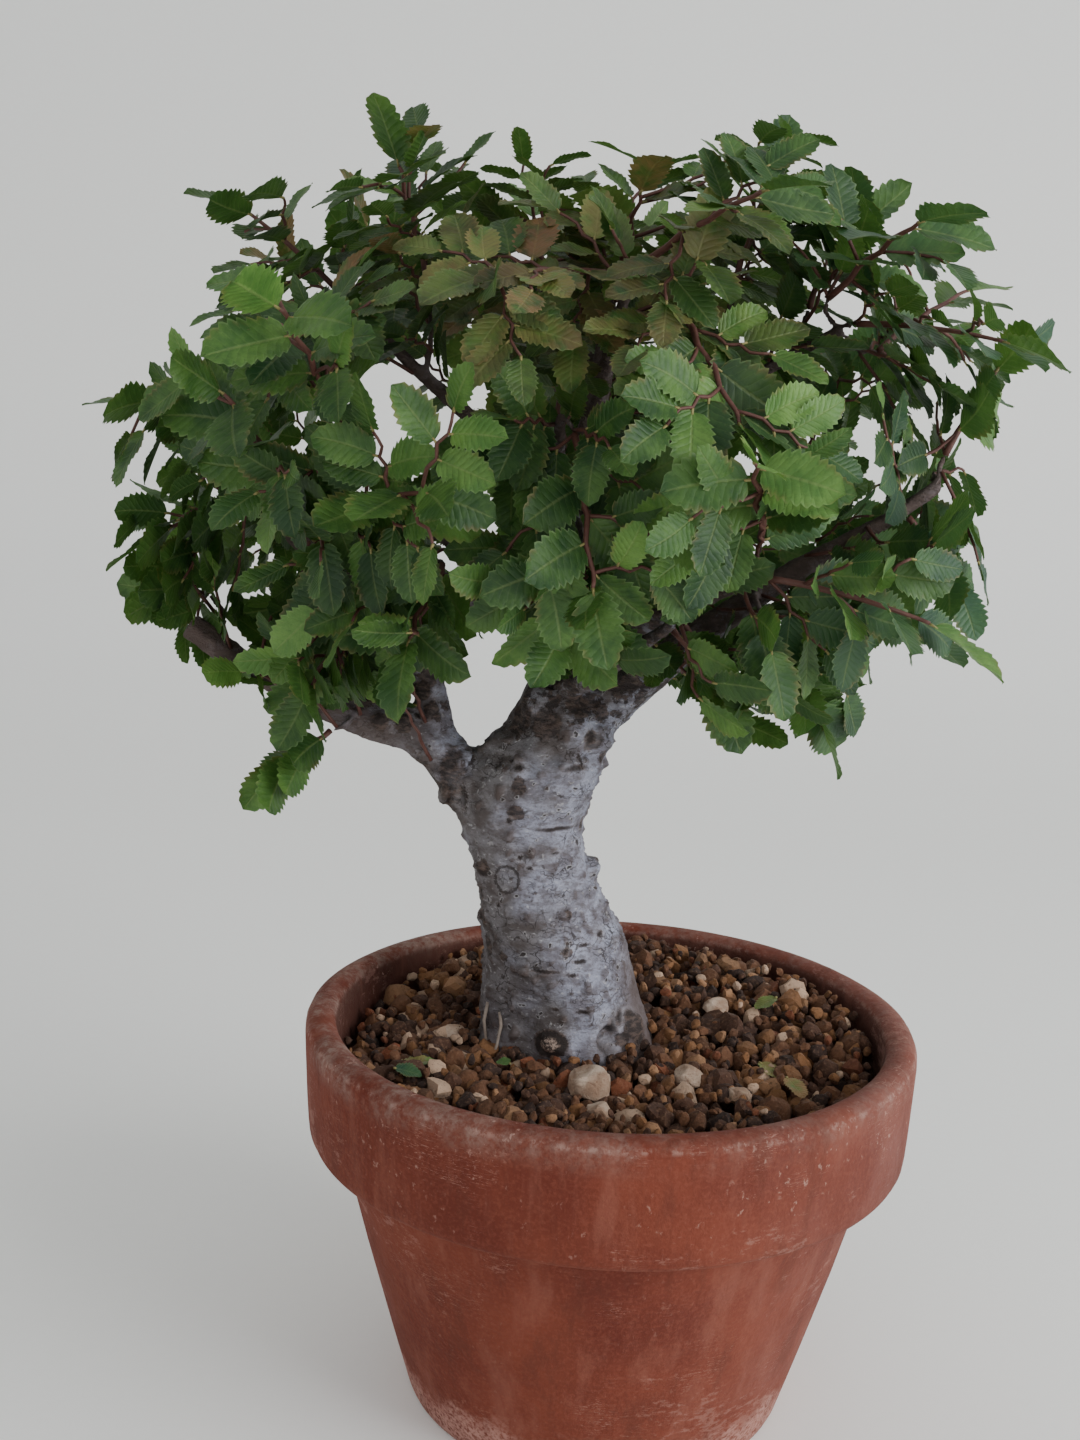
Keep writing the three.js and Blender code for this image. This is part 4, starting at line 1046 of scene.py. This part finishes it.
def has_room(leaf, apart):
    """Whether the leaf stays in the crown, its middle apart from the others'. If so, the place is taken."""
    middle = leaf.foot + leaf.ahead * (leaf.length * LEAF_MIDDLE)
    tip = leaf.foot + leaf.ahead * leaf.length
    for place in (middle, tip):
        for low, part, high in zip(box_low, place, box_high):
            if part < low + INSIDE_THE_BOX or part > high - INSIDE_THE_BOX:
                return False
    if outwards(tip).length > CROWN_EDGE or not in_the_outline(middle) or not in_the_outline(tip):
        return False
    x, y, z = cell_of(middle)
    for i, j, k in itertools.product((-1, 0, 1), repeat=3):
        if any((other - middle).length < apart for other in taken.get((x + i, y + j, z + k), ())):
            return False
    take(middle)
    return True


def grow_shoot(foot, heading, length, leafage, size, seed, thick=0.0004, apart=0.0038):
    """A fine twig that tries to grow so many leaves, unless less than two of them find room."""
    out = outwards(foot + heading * length * 0.5).normalized()
    side = heading.cross(out)
    if side.length < 0.2:
        side = heading.cross(Vector((math.cos(seed), math.sin(seed), 0.3)))
    side.normalize()
    up = side.cross(heading).normalized()
    places, kept = [foot], []
    for number in range(leafage):
        # the twig is a little zigzag, bends up or down and sags
        hand = 1 if number % 2 else -1
        share = 1 if number == leafage - 1 else 0.22 + 0.78 * (number + 0.5) / leafage
        place = foot + heading * (share * length) + side * (0.0005 * hand)
        bend = up * (0.0012 * math.sin(share * 3) * spread(seed, 40))
        place += bend + Vector((0, 0, -0.0012 * share * share))
        places.append(place)
        # its last leaf points ahead, and the others to the left and the right by turns
        turn = hand * (1.0 + 0.25 * spread(seed, number + 42))
        if share == 1:
            turn = 0.15 * spread(seed, 41)
        ahead = heading * math.cos(turn) + side * math.sin(turn) + out * 0.15 + Vector((0, 0, -0.28))
        ahead.normalize()
        face = out + Vector((0.4 * spread(seed, number + 50), 0.4 * spread(seed, number + 60), 0.35))
        face -= ahead * face.dot(ahead)
        face.normalize()
        long = size * (0.78 + 0.3 * math.sin(share * 2.6) + 0.1 * spread(seed, number + 70))
        half = long * (0.29 + 0.03 * spread(seed, number + 80))
        leaf = Leaf(place, ahead, face, long, half)
        if has_room(leaf, apart):
            kept.append(leaf)
            bare_from = number + 2
    if len(kept) < 2:
        return
    stalk(zigzag(places[:bare_from]), thick, 0.00028, 5, WOODY)
    for number, leaf in enumerate(kept):
        grow_leaf(leaf, seed * 7 + number, False, leaf_looks(leaf.foot, seed * 7 + number))


seed = 2000
for path in spray_paths:
    for share, hand in ((0.08, 1), (0.24, -1), (0.4, 1), (0.56, -1), (0.7, 1), (0.84, -1)):
        seed += 1
        step = int(share * (len(path) - 1))
        start = path[step]
        along = (path[step + 1] - path[max(step - 1, 0)]).normalized()
        out = outwards(start).normalized()
        side = along.cross(out).normalized() * hand
        heading = along * (0.55 + 0.3 * spread(seed, 1)) + side * (0.8 + 0.2 * spread(seed, 2))
        heading += out * (0.35 * spread(seed, 3)) + Vector((0, 0, 0.1 * spread(seed, 4)))
        long, size = 0.013 + 0.004 * chance(seed, 5), 0.0112 + 0.0025 * chance(seed, 6)
        grow_shoot(start, heading.normalized(), long, 5, size, seed)
# the wood that a twig can grow out of
timber = [place for path in spray_paths for place in path]
timber += [Vector(moved[number]) for number in range(0, count, 5) if moved[number][2] > 0.14]
near_timber = KDTree(len(timber))
for number, place in enumerate(timber):
    near_timber.insert(place, number)
near_timber.balance()


def in_view(across, down, deep):
    """The place at a pixel of the picture and so many metres behind the pot's axis."""
    way = sight(across, down)
    return eye + way * ((pot_axis.y + deep - eye.y) / way.y)


# the shoots that give the outline its look in the picture: where each starts and ends in the picture, how
# far behind the pot's axis, how many leaves it has and how long they are, both lengths in millimetres
for across, down, u, v, deep, leafage, size in (
    (540, 195, 553, 128, 2, 6, 9), (490, 200, 470, 150, -6, 5, 11), (610, 195, 650, 135, -4, 6, 12),
    (436, 190, 428, 104, -10, 6, 12), (292, 245, 288, 172, -6, 5, 13), (262, 215, 184, 182, -4, 6, 11),
    (170, 385, 88, 396, -2, 5, 12), (930, 400, 868, 486, -6, 6, 12), (905, 478, 880, 400, -22, 6, 12),
    (850, 425, 915, 455, 6, 6, 12), (940, 430, 925, 500, 14, 5, 12), (955, 330, 985, 268, 0, 5, 13),
    (960, 470, 990, 590, -8, 6, 13), (760, 650, 848, 738, -16, 6, 13), (775, 150, 818, 106, 0, 5, 8),
    (190, 590, 150, 655, -2, 6, 11), (700, 170, 735, 150, -10, 5, 11), (330, 175, 345, 115, -14, 4, 13),
    (365, 330, 330, 370, -16, 6, 12), (420, 380, 400, 330, -10, 5, 12), (845, 190, 800, 170, 4, 5, 11),
    (600, 180, 575, 140, 6, 5, 9), (235, 620, 200, 690, 6, 6, 11), (130, 470, 98, 520, 2, 5, 11),
    (505, 175, 520, 150, 8, 5, 10), (960, 400, 1000, 420, -10, 4, 11),
):
    seed += 1
    foot, tip = in_view(across, down, deep / 1000), in_view(u, v, deep / 1000)
    root = near_timber.find(foot)[0]
    heading = (tip - root).normalized()
    long = (tip - root).length * 0.9
    grow_shoot(root, heading, long, leafage, size / 1000, seed, apart=0.0026)
grow_twigs_and_blades("fine_twigs", "fine_leaves")


# The twigs that grow straight out of the branches' bark, in the crown and along the left limb, and close
# the gaps between the others. They are like them, a little thicker at the foot, and stand well apart.
TWIGS_APART = 0.0062
order = sorted(range(0, count, 7), key=lambda number: chance(number, 5))
stood = []
for number in order:
    place = Vector(moved[number])
    on_the_limb = place.x < pot_axis.x - 0.04 and outward[number][2] > -0.3
    if not on_the_limb and (place.z < 0.15 or outwards(place).length > 1.12 or shades[number][1] < 0.12):
        continue
    if any((place - other).length < TWIGS_APART for other in stood):
        continue
    stood.append(place)
    seed += 1
    away = outwards(place).normalized()
    if on_the_limb and place.z < 0.165:
        away = Vector((-0.2, 0.6 * spread(seed, 9), 0.9))
    heading = Vector(outward[number]) * 0.6 + away * 0.8 + any_way(seed) * 0.35
    long, size = 0.014 + 0.006 * chance(seed, 5), 0.0112 + 0.003 * chance(seed, 6)
    grow_shoot(place, heading.normalized(), long, 6, size, seed, thick=0.00045)
grow_twigs_and_blades("branch_twigs", "branch_leaves")


# Two leaves have fallen on the granules and lie flat there, curled and yellowing, with four small green
# bits of leaf. They lie loose. The two are found by the long and the thin way of their solids.
YELLOWING = (0.3, 0.5, 0)
fallen = [name for name in sorted(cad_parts) if name.startswith("fallen_leaf")]
for seed, name in enumerate(fallen):
    corners = np.array([corner.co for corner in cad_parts[name].data.vertices])
    middle = corners.mean(axis=0)
    ways = np.linalg.svd(corners - middle)[2]
    along = (corners - middle) @ ways[0]
    wide = (corners - middle) @ ways[1]
    face = Vector(ways[2]) if ways[2][2] > 0 else -Vector(ways[2])
    foot = Vector(middle + ways[0] * along.min())
    length, half = along.max() - along.min(), (wide.max() - wide.min()) / 2
    grow_leaf(Leaf(foot, Vector(ways[0]), face, length, half), 700 + seed, True, YELLOWING)
# the bits: the place in the picture, the length in millimetres, and how old, how pink and how much painted
# blue reflection
bits = [
    (409, 1072, 6.5, 0.9, 0, 0.7), (503, 1062, 3.8, 0.5, 0, 0.3), (796, 1088, 7, 0.3, 0.7, 0),
    (765, 1003, 6.5, 0.1, 0.3, 0),
]
OVER_THE_GRAINS = 2.2
for seed, (across, down, length, *looks) in enumerate(bits):
    # the filling's height is that of the place, which hangs on the height: three rounds settle it
    place = on_the_level(across, down, 76)
    for turn in range(3):
        height = fill_level(*((place - pot_axis) * 1000).xy) + OVER_THE_GRAINS
        place = on_the_level(across, down, height)
    turn = 2 * math.pi * chance(seed, 55)
    face = Vector((0.3 * spread(seed, 56), -0.25, 1)).normalized()
    ahead = Vector((math.cos(turn), math.sin(turn), 0))
    ahead = (ahead - face * ahead.dot(face)).normalized()
    foot, half = place - ahead * (length / 2000), length * 0.00036
    grow_leaf(Leaf(foot, ahead, face, length / 1000, half), 720 + seed, False, tuple(looks))
grow_twigs_and_blades("fallen_stalks", "fallen_leaves_curled", fallen)


# The studio: a pale seamless sweep of paper under and behind the pot, soft daylight from a large window
# on the upper right, and a weak fill from the left.
SWEEP_HALF = 2.5
sweep_points = []
sweep_faces = []
# flat in front, bent up behind: how deep and how high
profile = [
    (-1.2, 0), (0.5, 0), (0.62, 0.005), (0.74, 0.03), (0.84, 0.09), (0.9, 0.18), (0.93, 0.3), (0.94, 2.2),
]
for step, (deep, high) in enumerate(profile):
    sweep_points += [(-SWEEP_HALF, deep, high), (SWEEP_HALF, deep, high)]
    if step:
        sweep_faces.append((2 * step - 2, 2 * step - 1, 2 * step + 1, 2 * step))
sweep = make_piece("sweep", sweep_points, sweep_faces)
paper = Finish("pale_paper")
fibres = paper.specks(3, 3)
pale = paper.over(fibres, tone(249, 248, 243), tone(252, 251, 246))
sweep.data.materials.append(paper.done(pale, 0.85))


def light(name, at, towards, size, power, colour):
    lamp = bpy.data.objects.new(name, bpy.data.lights.new(name, "AREA"))
    lamp.data.size = size
    lamp.data.energy = power
    lamp.data.color = colour
    lamp.location = at
    lamp.rotation_euler = (Vector(towards) - Vector(at)).to_track_quat("-Z", "Y").to_euler()
    bpy.context.scene.collection.objects.link(lamp)


light("window", at=(0.9, -0.45, 0.45), towards=(0, 0, 0.12), size=0.7, power=11.2, colour=(0.96, 0.98, 1))
light("fill", at=(-0.35, -1.1, 0.22), towards=(0, 0, 0.05), size=0.9, power=2.6, colour=(1, 0.98, 0.95))
world = bpy.data.worlds.new("room")
world.use_nodes = True
room = world.node_tree.nodes["Background"]
room.inputs["Color"].default_value = (0.93, 0.96, 1, 1)
room.inputs["Strength"].default_value = 0.69
bpy.context.scene.world = world
